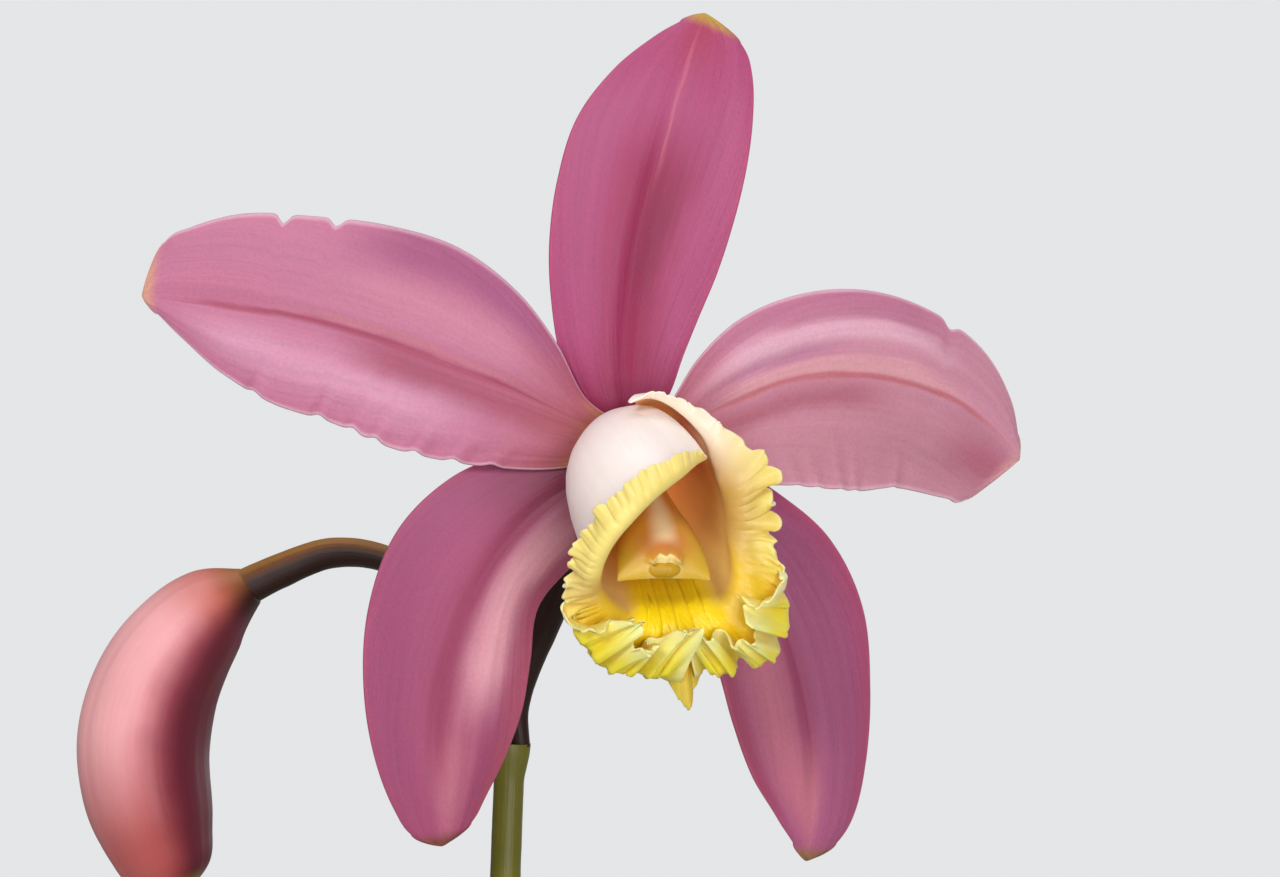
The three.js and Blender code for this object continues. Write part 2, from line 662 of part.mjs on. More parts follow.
// Lip. Angles run round its tube: 0 is the floor, negative the viewer's left. The left
// edge wraps over the tube and lies under the right edge.
const LIP_LEFT = -223;
const LIP_RIGHT = 186;
const LIP_LEFT_FOOT = -183; // where the two edges stand at the back of the tube
const LIP_RIGHT_FOOT = 168;
const lipMouth = [
  [-223, 11.6], [-209, 14], [-189, 17.6], [-164, 20.6], [-139, 22.4], [-99, 22.4], [-69, 20.5],
  [0, 19.5], [46, 19], [81, 15.5], [101, 14.5], [117, 13], [131, 9.5], [151, 5.5], [169, 3.2],
  [186, 3.6],
]; // how far along the axis the tube turns outwards
const lipRadius = [
  [-223, 8.1], [-160, 8.3], [-60, 8.3], [0, 8], [46, 8.5], [81, 7.1], [117, 7.6], [137, 9.4],
  [186, 9.6],
];
const lipBulge = [[-200, 0], [-165, 0.9], [-115, 1.5], [-70, 0.6], [-40, 0], [186, 0]]; // behind the mouth
const lipFlare = [
  [-223, 0.4], [-209, 1.7], [-189, 3.2], [-150, 3.8], [-99, 3.2], [-80, 3.8], [-60, 5], [-40, 7.3],
  [-14, 7.8], [0, 10.6], [14, 8.4], [30, 9.3], [46, 9.4], [62, 6.6], [81, 5.2], [117, 6], [131, 3],
  [151, 1.5], [186, 0.4],
]; // width of the crisped margin outside the mouth
const lipTurn = [
  [-223, 120], [-189, 160], [-110, 160], [-85, 135], [-60, 95], [-25, 74], [0, 66], [25, 74],
  [46, 86], [81, 100], [117, 115], [137, 118], [151, 90], [186, 40],
]; // degrees that the margin turns out from the axis
const lipRuffle = [
  [-223, 0], [-180, 0.1], [-110, 0.35], [-75, 0.9], [-45, 1.6], [0, 1.4], [45, 1.7], [75, 0.9],
  [120, 0.5], [186, 0],
]; // height of the crisped margin's waves

function axisTurned(turn) {
  const level = Math.cos(degToRad(LIP_DROOP));
  const [across, ahead] = [Math.sin(degToRad(turn)), Math.cos(degToRad(turn))];
  return vec(across * level, -ahead * level, -Math.sin(degToRad(LIP_DROOP)));
}

const sideOf = (turn) => vec(Math.cos(degToRad(turn)), Math.sin(degToRad(turn)), 0);

const lipAxis = axisTurned(LIP_TURN);
const lipSide = sideOf(LIP_TURN).applyAxisAngle(lipAxis, degToRad(LIP_ROLL));
const lipTop = lipAxis.clone().cross(lipSide).normalize();

function lipRay(angle) {
  const a = degToRad(angle);
  return lipSide.clone().multiplyScalar(Math.sin(a)).addScaledVector(lipTop, -Math.cos(a));
}

// How far along the axis a ray of this radius leaves the plane just in front of the petals.
function lipBackPlane(ray, radius) {
  const clear = 1.25;
  return (clear + ray.y * radius) / -lipAxis.y;
}

function bezier1(t, [a, b, c, d]) {
  const s = 1 - t;
  return s * s * s * a + 3 * s * s * t * b + 3 * s * t * t * c + t * t * t * d;
}

const MOUTH_AT = 0.5; // share of the surface's length that is tube
const TURN_SHARE = 0.55; // share of the margin's width over which it turns

function lipPoint(angle, s) {
  const tube = clamp(s / MOUTH_AT, 0, 1);
  const [edge, edgeFoot] = angle < 0 ? [LIP_LEFT, LIP_LEFT_FOOT] : [LIP_RIGHT, LIP_RIGHT_FOOT];
  const closing = (angle / edge) * (edgeFoot - edge);
  const ray = lipRay(angle + closing * (1 - tube ** 1.5));
  const mouth = readOutline(lipMouth, angle);
  const radius = readOutline(lipRadius, angle);
  const foot = 3.0;
  const d = bezier1(tube, [
    lipBackPlane(ray, foot),
    lipBackPlane(ray, 5.5),
    Math.min(Math.max(lipBackPlane(ray, radius) + 3, 2), mouth - 0.6),
    mouth,
  ]);
  const r = bezier1(tube, [foot, 5.5, radius + 2 * readOutline(lipBulge, angle), radius]);
  const e = clamp((s - MOUTH_AT) / (1 - MOUTH_AT), 0, 1);
  const width = readOutline(lipFlare, angle);
  const bend = Math.min(degToRad(readOutline(lipTurn, angle)), (width * TURN_SHARE) / 0.5);
  const arc = Math.min(e, TURN_SHARE);
  const straight = (e - arc) * width;
  const turnNow = (bend * arc) / TURN_SHARE;
  const arcRadius = (width * TURN_SHARE) / bend;
  const out = arcRadius * (1 - Math.cos(turnNow)) + straight * Math.sin(bend);
  const on = arcRadius * Math.sin(turnNow) + straight * Math.cos(bend);
  const wave = e ** 1.4 * Math.sin(degToRad(angle) * lipWaves(angle));
  const lift = readOutline(lipRuffle, angle) * wave - lipRidge(angle, s);
  return BLOOM_CENTRE.clone()
    .addScaledVector(lipAxis, d + on - Math.sin(turnNow) * lift)
    .addScaledVector(ray, r + out + Math.cos(turnNow) * lift);
}

// Waves to a turn of the tube: closer on the front lobe than on the side lobes.
const lipWaves = (angle) => lerp(21, 13, smoothstep(Math.abs(angle), 50, 80));

// Raised keels on the floor, which run from inside the tube onto the front lobe.
function lipRidge(angle, s) {
  const across = 1 - smoothstep(Math.abs(angle), 20, 28);
  const along = smoothstep(s, 0.22, 0.4) * (1 - smoothstep(s, 0.62, 0.78));
  return 0.8 * across * along * (0.5 + 0.5 * Math.cos(degToRad(angle) * 30));
}

function makeLip() {
  const angles = [];
  const span = (from, to, count) => {
    for (let k = 0; k < count; k++) angles.push(lerp(from, to, k / count));
  };
  span(LIP_LEFT, -66, 19);
  span(-66, -24, 10);
  span(-24, 24, 12);
  span(24, 66, 10);
  span(66, LIP_RIGHT, 15);
  angles.push(LIP_RIGHT);
  const rows = [0, 0.12, 0.26, 0.4, 0.5, 0.6, 0.72, 0.86, 1];
  const depth = (a, s) => lerp(LIP_THICK, TEPAL_EDGE, s);
  return blade((a, s) => lipPoint(a, s), depth, angles, rows);
}

// Column: a club with a keel on its back and a wing at each side, as seen from the front.
const columnAxis = axisTurned(COLUMN_TURN);
const columnSide = sideOf(COLUMN_TURN);
const columnTop = columnAxis.clone().cross(columnSide).normalize();

function columnPoint(d, angle) {
  const wing = readOutline([[1, 1.9], [6, 2.1], [12, 3.0], [18, 4.5], [COLUMN_LENGTH, 5.0]], d);
  const keel = readOutline([[1, 1.9], [12, 2.6], [19, 3.0], [COLUMN_LENGTH, 2.2]], d);
  const belly = readOutline([[1, 1.7], [12, 1.8], [COLUMN_LENGTH, 1.5]], d);
  const [c, s] = [Math.cos(angle), Math.sin(angle)];
  const x = wing * Math.sign(c) * Math.abs(c) ** 0.9;
  const y = s > 0 ? keel * s ** 1.5 : -belly * Math.abs(s) ** 0.8;
  return BLOOM_CENTRE.clone()
    .addScaledVector(columnAxis, d)
    .addScaledVector(columnSide, x)
    .addScaledVector(columnTop, y);
}

const ANTHER = { width: 2.9, height: 2.0, depth: 2.2 };

function antherBox(extra) {
  const box = new THREE.BoxGeometry(
    ANTHER.width + 2 * extra,
    ANTHER.depth + 2 * extra,
    ANTHER.height + 2 * extra,
  );
  const placed = new THREE.Matrix4().makeBasis(columnSide, columnAxis, columnTop.clone().negate());
  placed.setPosition(
    BLOOM_CENTRE.clone()
      .addScaledVector(columnAxis, COLUMN_LENGTH - ANTHER.depth / 2 + 0.6)
      .addScaledVector(columnTop, 0.2),
  );
  return box.applyMatrix4(placed);
}

function makeColumn() {
  const stations = [1, 4, 8, 12, 16, 19, 21.5, COLUMN_LENGTH];
  const rings = stations.map((d) =>
    Array.from({ length: 14 }, (_, j) => columnPoint(d, (2 * Math.PI * j) / 14)),
  );
  return solid(loft(rings)).subtract(solid(antherBox(GAP)));
}

// Assembly
addPiece("pot", makePot(), "clay");

const rhizomeRoom = solid(makeRhizome(GAP));
const shootRoom = solid(makeShoot(GAP));
const caneRooms = canes.map((cane) => solid(makeCane(cane, GAP)));
const rootRooms = roots.map((root) => solid(makeRoot(root, GAP)));
const cutBy = (shape, rooms) => rooms.reduce((rest, room) => rest.subtract(room), shape);

const bark = cutBy(makeBark(), [rhizomeRoom, shootRoom, ...caneRooms, ...rootRooms]);
const barkBodies = bark.decompose().sort((a, b) => b.volume() - a.volume());
addPiece("bark_mix", barkBodies[0], "bark"); // crumbs cut loose by the holes are dropped

addPiece("rhizome", cutBy(solid(makeRhizome()), [...caneRooms, shootRoom]), "rhizome");

canes.forEach((cane, i) => {
  addPiece(cane.name, makeCane(cane), "cane");
  addPiece(`husk_${i + 1}`, makeHusk(cane, [4, 3, 3, 2][i]), "husk");
});
addPiece("new_shoot", makeShoot(), "shoot");
for (const root of roots)
  addPiece(root.name, cutBy(solid(makeRoot(root)), [rhizomeRoom, shootRoom, ...caneRooms]), "root");
for (const leaf of leaves) addPiece(leaf.name, makeLeaf(leaf), "leaf");

addPiece("flower_stalk", makeStalk(), "peduncle");
addPiece("spathe", makeSpathe(), "husk");
addPiece("bloom_stem", makeBloomStem(), "pedicel");
addPiece("bud_stem", makeBudStem(), "pedicel");
addPiece("bud", makeBud(), "bud");

for (const tepal of tepals) addPiece(tepal.name, makeTepal(tepal), tepal.colour);
addPiece("lip", makeLip(), "lip");
addPiece("column", makeColumn(), "column");
addPiece("anther_cap", antherBox(0), "anther");

export default part;
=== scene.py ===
"""A potted bifoliate orchid in flower: the finish of its pieces, the light and the camera.

The frame is in metres, +Z up, with its origin at the centre of the pot's foot, and the bloom
faces -Y. Sizes and places here are in millimetres, and each mesh is scaled once as it is made.
"""

import math

import bpy
import numpy as np
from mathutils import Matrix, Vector


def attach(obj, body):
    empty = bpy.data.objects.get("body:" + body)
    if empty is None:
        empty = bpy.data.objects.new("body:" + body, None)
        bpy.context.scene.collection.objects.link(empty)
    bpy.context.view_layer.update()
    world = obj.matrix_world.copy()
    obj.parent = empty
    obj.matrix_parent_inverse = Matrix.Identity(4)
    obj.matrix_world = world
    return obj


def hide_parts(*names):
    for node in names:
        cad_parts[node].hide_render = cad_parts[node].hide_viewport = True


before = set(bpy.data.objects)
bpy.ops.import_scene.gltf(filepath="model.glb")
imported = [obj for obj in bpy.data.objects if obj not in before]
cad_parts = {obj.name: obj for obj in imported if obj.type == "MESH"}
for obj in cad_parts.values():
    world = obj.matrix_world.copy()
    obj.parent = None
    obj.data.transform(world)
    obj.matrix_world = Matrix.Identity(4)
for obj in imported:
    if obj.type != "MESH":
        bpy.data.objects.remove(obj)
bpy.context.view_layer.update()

MM = 0.001
UP = np.array([0, 0, 1.0])

GAP = 0.3  # left between pieces that grow against each other
POT_HEIGHT = 105
POT_RIM_RADIUS = 64
POT_RIM_DEPTH = 20
POT_FOOT_RADIUS = 43
POT_WALL = 5
DRAIN_RADIUS = 5
DRAIN_RING = 25
DRAIN_COUNT = 4
BARK_TOP = 92

RHIZOME_RADIUS = 4.6
RHIZOME_LEVEL = 96
ROOT_RADIUS = 1.5
INTERNODE = 27

LEAF_THICK = 1.8
LEAF_CLASP = 85  # half angle, in degrees, that a leaf's foot wraps round its cane
CLASP_CLEAR = 1.5
APEX_RADIUS = 4.2  # of a cane's tip

PEDUNCLE_RADIUS = 1.75
STEM_FOOT_RADIUS = 1.1
OVARY_RADIUS = 1.75
CUP_FLARE = 1.3
BUD_RADIUS = 7.7
BUD_DEPTH = 28

BLOOM_CENTRE = np.array([0, -16.0, 424.0])
LIP_DROOP = 33  # degrees that the lip's tube points below the level
LIP_TURN = 15  # degrees that it points to the viewer's right
LIP_ROLL = 9  # degrees that it is rolled, so that its front lobe hangs straight
COLUMN_TURN = 11
COLUMN_LENGTH = 22.5

# How finely each piece is split: rows along it, columns across it, sides round it
TEPAL_ROWS, TEPAL_COLUMNS = 140, 71
LIP_COLUMNS, TUBE_ROWS, MARGIN_ROWS = 660, 12, 50
COLUMN_SIDES, COLUMN_ROWS, HOOD_ROWS = 72, 30, 50
ANTHER_SIDES, ANTHER_ROWS = 40, 30
BUD_SIDES, BUD_ROWS = 120, 130
LEAF_ROWS, LEAF_COLUMNS = 120, 49
CANE_SIDES, CANE_ROWS = 36, 300
HUSK_SIDES, HUSK_ROWS = 64, 22
SHOOT_SIDES, SHOOT_ROWS = 56, 120
STALK_SIDES, STALK_ROWS = 36, 220
FLOWER_STEM_ROWS = 180
SPATHE_SIDES, SPATHE_ROWS = 88, 60
RHIZOME_SIDES, RHIZOME_ROWS = 28, 260
ROOT_SIDES, ROOT_ROWS = 16, 60
POT_SIDES, DRAIN_SIDES, FLOOR_SIDES = 200, 40, 96


# Curves and outlines


def unit(v):
    """The same directions with a length of 1."""
    return v / np.maximum(np.linalg.norm(v, axis=-1, keepdims=True), 1e-12)


def soft_step(x, low, high):
    """0 below low, 1 above high, and a soft rise between them."""
    t = np.clip((x - low) / (high - low), 0, 1)
    return t * t * (3 - 2 * t)


def between(a, b, t):
    return a + (b - a) * t


def from_bloom(points):
    """Places that are given from the bloom's centre."""
    return BLOOM_CENTRE + np.array(points, float)


def hump(x, middle, width):
    """1 at the middle, fading to nothing on both sides."""
    return np.exp(-(((x - middle) / width) ** 2))


def read_outline(outline, x):
    """Reads a short outline of (where, value) pairs as one smooth curve."""
    at, value = np.array(outline, float).T
    order = np.arange(len(at))
    before = np.maximum(order - 1, 0)
    after = np.minimum(order + 1, len(at) - 1)
    slope = (value[after] - value[before]) / (at[after] - at[before])
    x = np.clip(x, at[0], at[-1])
    i = np.clip(np.searchsorted(at, x, side="right") - 1, 0, len(at) - 2)
    span = at[i + 1] - at[i]
    t = (x - at[i]) / span
    rise = value[i] * (1 + 2 * t) * (1 - t) ** 2 + value[i + 1] * t * t * (3 - 2 * t)
    return rise + span * (slope[i] * t * (1 - t) ** 2 - slope[i + 1] * t * t * (1 - t))


def bezier(t, points):
    a, b, c, d = points
    s = 1 - t
    return s * s * s * a + 3 * s * s * t * b + 3 * s * t * t * c + t * t * t * d


def stem_line(points, count):
    """Evenly spaced points on a smooth line through the given ones."""
    p = np.array(points, float)
    p = np.vstack([2 * p[0] - p[1], p, 2 * p[-1] - p[-2]])
    t = np.linspace(0, 1, 40, endpoint=False)[:, None]
    line = []
    for a, b, c, d in zip(p, p[1:], p[2:], p[3:]):
        ab, bc, cd = (np.linalg.norm(q - r) ** 0.5 for q, r in ((b, a), (c, b), (d, c)))
        start = ((b - a) / ab - (c - a) / (ab + bc) + (c - b) / bc) * bc
        end = ((c - b) / bc - (d - b) / (bc + cd) + (d - c) / cd) * bc
        stretch = b * (1 + 2 * t) * (1 - t) ** 2 + c * t * t * (3 - 2 * t)
        line.append(stretch + start * t * (1 - t) ** 2 - end * t * t * (1 - t))
    line = np.vstack([*line, p[-2:-1]])
    run = np.concatenate([[0], np.cumsum(np.linalg.norm(np.diff(line, axis=0), axis=1))])
    at = np.linspace(0, run[-1], count)
    return np.stack([np.interp(at, run, line[:, k]) for k in range(3)], axis=1)


def turned(v, axis, angle):
    """Turns a direction about an axis, by an angle in radians."""
    across = np.cross(axis, v)
    return v * math.cos(angle) + across * math.sin(angle) + axis * v.dot(axis) * (1 - math.cos(angle))


def frames_along(line):
    """Two directions across the line at each of its points, carried on without a twist."""
    heading = unit(np.gradient(line, axis=0))
    least = np.eye(3)[np.argmin(np.abs(heading[0]))]
    side = unit(np.cross(heading[0], np.cross(heading[0], least)))
    sides = [side]
    for a, b in zip(heading, heading[1:]):
        axis = np.cross(a, b)
        size = np.linalg.norm(axis)
        if size > 1e-9:
            side = turned(side, axis / size, math.asin(min(size, 1)))
        sides.append(side)
    sides = np.array(sides)
    return sides, np.cross(heading, sides)


# Meshes


def make_mesh(name, points, faces, places=None, face_side=None, closed_rings=0):
    """A mesh in metres. places holds a UV for each point, face_side a number from 0 to 1.

    closed_rings is how many of its first faces belong to rings whose second UV runs from 0 to 1.
    """
    points = np.asarray(points, float).reshape(-1, 3) * MM
    mesh = bpy.data.meshes.new(name)
    mesh.from_pydata(points.tolist(), [], [list(face) for face in faces])
    mesh.update()
    corners = np.empty(len(mesh.loops), int)
    mesh.loops.foreach_get("vertex_index", corners)
    if places is not None:
        uv = np.asarray(places, float).reshape(-1, 2)[corners]
        if closed_rings:
            turn = uv[: closed_rings * 4].reshape(-1, 4, 2)[..., 1]
            across_the_seam = np.ptp(turn, axis=1, keepdims=True) > 0.5
            turn[(turn < 0.5) & across_the_seam] += 1
        mesh.uv_layers.new(name="blade").data.foreach_set("uv", uv.ravel())
    if face_side is not None:
        layer = mesh.attributes.new("front", "FLOAT", "POINT")
        layer.data.foreach_set("value", np.asarray(face_side, float).ravel())
    mesh.shade_smooth()
    return mesh


def link(name, data):
    """A new object in the scene."""
    item = bpy.data.objects.new(name, data)
    bpy.context.scene.collection.objects.link(item)
    return item


def shaped(item, *helpers):
    """The mesh that an object's modifiers make. The object and its helpers are removed."""
    graph = bpy.context.evaluated_depsgraph_get()
    mesh = bpy.data.meshes.new_from_object(item.evaluated_get(graph))
    for used in (item, *helpers):
        bpy.data.objects.remove(used)
    return mesh


def put(name, mesh, finish, *nodes, slot):
    """Puts a mesh in the scene as one piece that stands for the CAD nodes."""
    piece = link(name, mesh)
    mesh.materials.clear()
    mesh.materials.append(finish)
    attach(piece, "root")
    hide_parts(*nodes)


def blade_mesh(name, middle, thick, u, v, front=1):
    """A thin closed blade with a rounded edge, from the grid of its middle surface.

    u and v are its UV, from 0 to 1. front is 1 where its front is the side of rows cross
    columns, and -1 where it is the other.
    """
    rows, columns = middle.shape[:2]
    along, across = unit(np.gradient(middle, axis=0)), unit(np.gradient(middle, axis=1))
    normal = unit(np.cross(along, across))
    half = thick[..., None] / 2
    outward = np.zeros_like(middle)
    outward[0] -= along[0]
    outward[-1] += along[-1]
    outward[:, 0] -= across[:, 0]
    outward[:, -1] += across[:, -1]
    index = np.arange(rows * columns).reshape(rows, columns)
    rim = np.concatenate([index[0, :-1], index[:-1, -1], index[-1, :0:-1], index[:0:-1, 0]])
    edge = (middle + unit(outward) * half).reshape(-1, 3)[rim]
    skins = [(middle + normal * half * sign).reshape(-1, 3) for sign in (1, -1)]
    points = np.vstack([*skins, edge])
    back, brim = rows * columns, 2 * rows * columns
    a, b = index[:-1, :-1].ravel(), index[1:, :-1].ravel()
    c, d = index[1:, 1:].ravel(), index[:-1, 1:].ravel()
    faces = np.vstack([np.stack([a, b, c, d], 1), np.stack([a, d, c, b], 1) + back])
    turn = np.arange(len(rim))
    onward = np.roll(turn, -1)
    upper = np.stack([rim, np.roll(rim, -1), brim + onward, brim + turn], 1)
    lower = np.stack([brim + turn, brim + onward, back + np.roll(rim, -1), back + rim], 1)
    grid = np.stack([u, v], -1).reshape(-1, 2)
    places = np.vstack([grid, grid, grid[rim]])
    side = 0.5 + 0.5 * front * np.concatenate([np.ones(back), -np.ones(back), np.zeros(len(rim))])
    return make_mesh(name, points, np.vstack([faces, upper, lower]).tolist(), places, side)


def loft_mesh(name, rings, endless=False):
    """A closed surface through rings of points: capped at its ends, or back onto itself."""
    rings = np.asarray(rings, float)
    count, sides = rings.shape[:2]
    index = np.arange(count * sides).reshape(count, sides)
    a, b = index, np.roll(index, -1, axis=1)
    if endless:
        c, d = np.roll(b, -1, axis=0), np.roll(a, -1, axis=0)
    else:
        a, b, c, d = a[:-1], b[:-1], b[1:], a[1:]
    faces = np.stack([a, b, c, d], -1).reshape(-1, 4).tolist()
    points = rings.reshape(-1, 3)
    u, v = np.meshgrid(np.linspace(0, 1, count), np.arange(sides) / sides, indexing="ij")
    places = np.stack([u, v], -1).reshape(-1, 2)
    if not endless:
        faces += [index[0, ::-1].tolist(), index[-1].tolist()]
    if shell_volume(points, faces) < 0:
        faces = [face[::-1] for face in faces]
    return make_mesh(name, points, faces, places, closed_rings=a.size)


def shell_volume(points, faces):
    """Positive where the faces of a closed shell point outwards."""
    total = 0
    for face in faces:
        corners = points[face]
        total += np.einsum("j,ij->", corners[0], np.cross(corners[1:-1], corners[2:]))
    return total


def rings_about(line, sides, radius):
    """Rings across a line. radius(t, angle) is the distance from the line."""
    side, up = frames_along(line)
    t, angle = np.meshgrid(np.linspace(0, 1, len(line)), turns(sides), indexing="ij")
    r = radius(t, angle)[..., None]
    across = np.cos(angle)[..., None] * side[:, None] + np.sin(angle)[..., None] * up[:, None]
    return line[:, None] + across * r


def turns(sides):
    return 2 * np.pi * np.arange(sides) / sides


def apart(angle, other):
    """The angle from one direction to another, between -pi and pi."""
    return np.angle(np.exp(1j * (angle - other)))


# Nodes


class Socket:
    """A node's output. Python's operators add Math nodes to it."""

    def __init__(self, nodes, link):
        self.nodes = nodes
        self.link = link

    def math(self, operation, *others):
        return self.nodes.add("ShaderNodeMath", {"operation": operation}, [self, *others])

    def __add__(self, other):
        return self.math("ADD", other)

    def __sub__(self, other):
        return self.math("SUBTRACT", other)

    def __mul__(self, other):
        return self.math("MULTIPLY", other)

    def __truediv__(self, other):
        return self.math("DIVIDE", other)

    def __pow__(self, other):
        return self.math("POWER", other)

    def __rsub__(self, other):
        return self.nodes.add("ShaderNodeMath", {"operation": "SUBTRACT"}, [other, self])

    def __abs__(self):
        return self.math("ABSOLUTE")

    __radd__ = __add__
    __rmul__ = __mul__


class Nodes:
    """Adds nodes to one tree."""

    def __init__(self, tree):
        self.tree = tree

    def add(self, kind, settings=None, values=(), output=0):
        """A new node: its settings first, then the values or links of its sockets."""
        node = self.tree.nodes.new(kind)
        for name, value in (settings or {}).items():
            if name == "stops":
                for _ in value[2:]:
                    node.color_ramp.elements.new(0.5)
                for element, (at, colour) in zip(node.color_ramp.elements, value):
                    element.position = at
                    element.color = colour
            else:
                setattr(node, name, value)
        pairs = values.items() if isinstance(values, dict) else enumerate(values)
        for key, value in pairs:
            if isinstance(value, Socket):
                self.tree.links.new(value.link, node.inputs[key])
            else:
                node.inputs[key].default_value = value
        return Socket(self, node.outputs[output])

    def step(self, value, low, high):
        """0 below low and 1 above high, with a soft rise between them."""
        settings = {"interpolation_type": "SMOOTHSTEP"}
        return self.add("ShaderNodeMapRange", settings, [value, low, high, 0, 1])

    def fall(self, value, low, high):
        """1 below low and 0 above high, with a soft fall between them."""
        return 1 - self.step(value, low, high)

    def band(self, value, middle, width):
        """1 where the value is at the middle, fading to 0 at the width on both sides."""
        return self.fall(abs(value - middle), 0, width)

    def vector(self, x, y, z=0.0):
        return self.add("ShaderNodeCombineXYZ", None, [x, y, z])

    def noise(self, place, scale, detail=3, roughness=0.55):
        values = {"Vector": place, "Scale": scale, "Detail": detail, "Roughness": roughness}
        return self.add("ShaderNodeTexNoise", None, values)


def rgb(red, green, blue):
    """A colour from 0 to 255 as the linear values that a shader takes."""
    shares = [c / 255 for c in (red, green, blue)]
    return (*(s / 12.92 if s < 0.04045 else ((s + 0.055) / 1.055) ** 2.4 for s in shares), 1)


class Finish(Nodes):
    """A material: its nodes and the shader that they feed."""

    def __init__(self, name, **constants):
        self.material = bpy.data.materials.new(name)
        self.material.use_nodes = True
        super().__init__(self.material.node_tree)
        self.shader = self.tree.nodes["Principled BSDF"]
        for name, value in constants.items():
            self.shader.inputs[name.replace("_", " ")].default_value = value
        self.place = self.add("ShaderNodeTexCoord", output=3)
        self.colour = None

    def attribute(self, name):
        return self.add("ShaderNodeAttribute", {"attribute_name": name}, output=2)

    def axis(self, vector, index):
        return self.add("ShaderNodeSeparateXYZ", None, [vector], output=index)

    def blade(self):
        """The piece's own u, from foot to tip, and v, from 0 to 1 across or round it."""
        place = self.add("ShaderNodeUVMap", {"uv_map": "blade"})
        return self.axis(place, 0), self.axis(place, 1)

    def stem(self):
        """How far along a stem, in metres, and how far round it, from 0 to 1."""
        return self.attribute("length"), self.attribute("turn")

    def spots(self, scale, detail=3, roughness=0.55):
        """Noise that is alike in all directions."""
        return self.noise(self.place, scale, detail, roughness)

    def streaks(self, x, y, detail=3, roughness=0.55):
        """Noise that is drawn out the way that x grows slowest."""
        return self.noise(self.vector(x, y), 1.0, detail, roughness)

    def mix(self, factor, a, b):
        return self.add("ShaderNodeMix", {"data_type": "RGBA"}, {0: factor, 6: a, 7: b}, output=2)

    def lay(self, mask, colour):
        """Lays a colour over the one that is there, as far as the mask says."""
        self.colour = self.mix(mask, self.colour, colour)

    def bump(self, height, distance, strength=1.0):
        values = {"Height": height, "Distance": distance * MM, "Strength": strength}
        return self.add("ShaderNodeBump", None, values)

    def end(self, roughness, normal=None, shade=None, glow=None):
        """Feeds the shader and gives the material. shade makes its colour lighter or darker."""
        if shade is not None:
            scale = {"operation": "SCALE"}
            self.colour = self.add("ShaderNodeVectorMath", scale, {0: self.colour, 3: shade})
        fed = {"Base Color": self.colour, "Roughness": roughness, "Normal": normal, "Emission Color": glow}
        for name, value in fed.items():
            if value is not None:
                self.tree.links.new(value.link, self.shader.inputs[name])
        return self.material


# Finishes of the bloom


SEPAL_BACK = (196, 128, 150)
PETAL_BACK = (214, 158, 178)


def tepal_finish(name, body, back, edge, bands, foot, tip):
    """Petal skin. Each band is (v at foot, v at tip, width, u from, u to, colour, strength). Bands hold the
    tepal's own markings, and also painted highlights on its raised folds and painted shade in its hollows;
    foot colours hold the base's own colour and, on the lateral sepals, painted shadow from the lip.
    """
    finish = Finish(name, Subsurface_Weight=0.12, Subsurface_Scale=0.0015, Specular_IOR_Level=0.3)
    u, v01 = finish.blade()
    fan = (v01 - 0.5) * (1 - u * 0.5)
    streaks = finish.streaks(u * 1.6, fan * 34, 4, 0.6)
    drift = finish.noise(finish.vector(u * 3, v01 * 4), 1.2, 2)
    v = v01 * 2 - 1 + (drift - 0.5) * 0.22 + (streaks - 0.5) * 0.1
    finish.colour = rgb(*body)
    for foot_v, tip_v, width, start, stop, band_colour, strength in bands:
        across = finish.band(v - u * (tip_v - foot_v), foot_v, width)
        ends = finish.step(u, start - 0.08, start + 0.12) * finish.fall(u, stop - 0.12, stop + 0.08)
        finish.lay(across * ends * strength, rgb(*band_colour))
    for colour_at_foot, reach in foot:
        finish.lay(finish.fall(u + (drift - 0.5) * 0.1, 0.0, reach), rgb(*colour_at_foot))
    finish.lay(finish.step(abs(v01 * 2 - 1) + (drift - 0.5) * 0.05, 0.955, 1.0) * 0.6, rgb(*edge))
    finish.lay(finish.step(u + (drift - 0.5) * 0.02, 0.965, 1.0), rgb(*tip))
    front = finish.attribute("front")
    finish.lay((1 - front) * 0.8, rgb(*back))
    cells = finish.spots(2600.0, 2, 0.7)
    value = 1 + (streaks - 0.5) * 0.3 + (cells - 0.5) * 0.28 + (drift - 0.5) * 0.14
    height = streaks * 0.5 + cells * 0.18
    normal = finish.bump(height, 0.3, 0.6)
    roughness = 0.5 + (cells - 0.5) * 0.2
    return finish.end(roughness, normal, value)


def dorsal_sepal_finish():
    return tepal_finish(
        "dorsal_sepal_skin",
        body=(170, 75, 118),
        back=SEPAL_BACK,
        edge=(186, 78, 118),
        bands=[
            # The two dark middle bands: the sepal's own deeper magenta, and painted shade in the hollow down
            # its middle.
            (0.1, 0.0, 0.75, 0.05, 0.72, (148, 36, 78), 0.95),
            (0.15, 0.15, 0.35, 0.3, 0.62, (128, 32, 70), 0.7),
            (-0.75, -0.7, 0.4, 0.2, 0.8, (168, 80, 124), 0.5),
            (0.85, 0.7, 0.35, 0.1, 0.9, (178, 86, 126), 0.6),
            (0.0, 0.0, 0.9, 0.86, 1.2, (164, 56, 80), 0.7),
            (0.06, 0.02, 0.05, 0.62, 0.95, (196, 110, 130), 0.55),
        ],
        foot=[((140, 38, 74), 0.25)],
        tip=(186, 150, 64),
    )


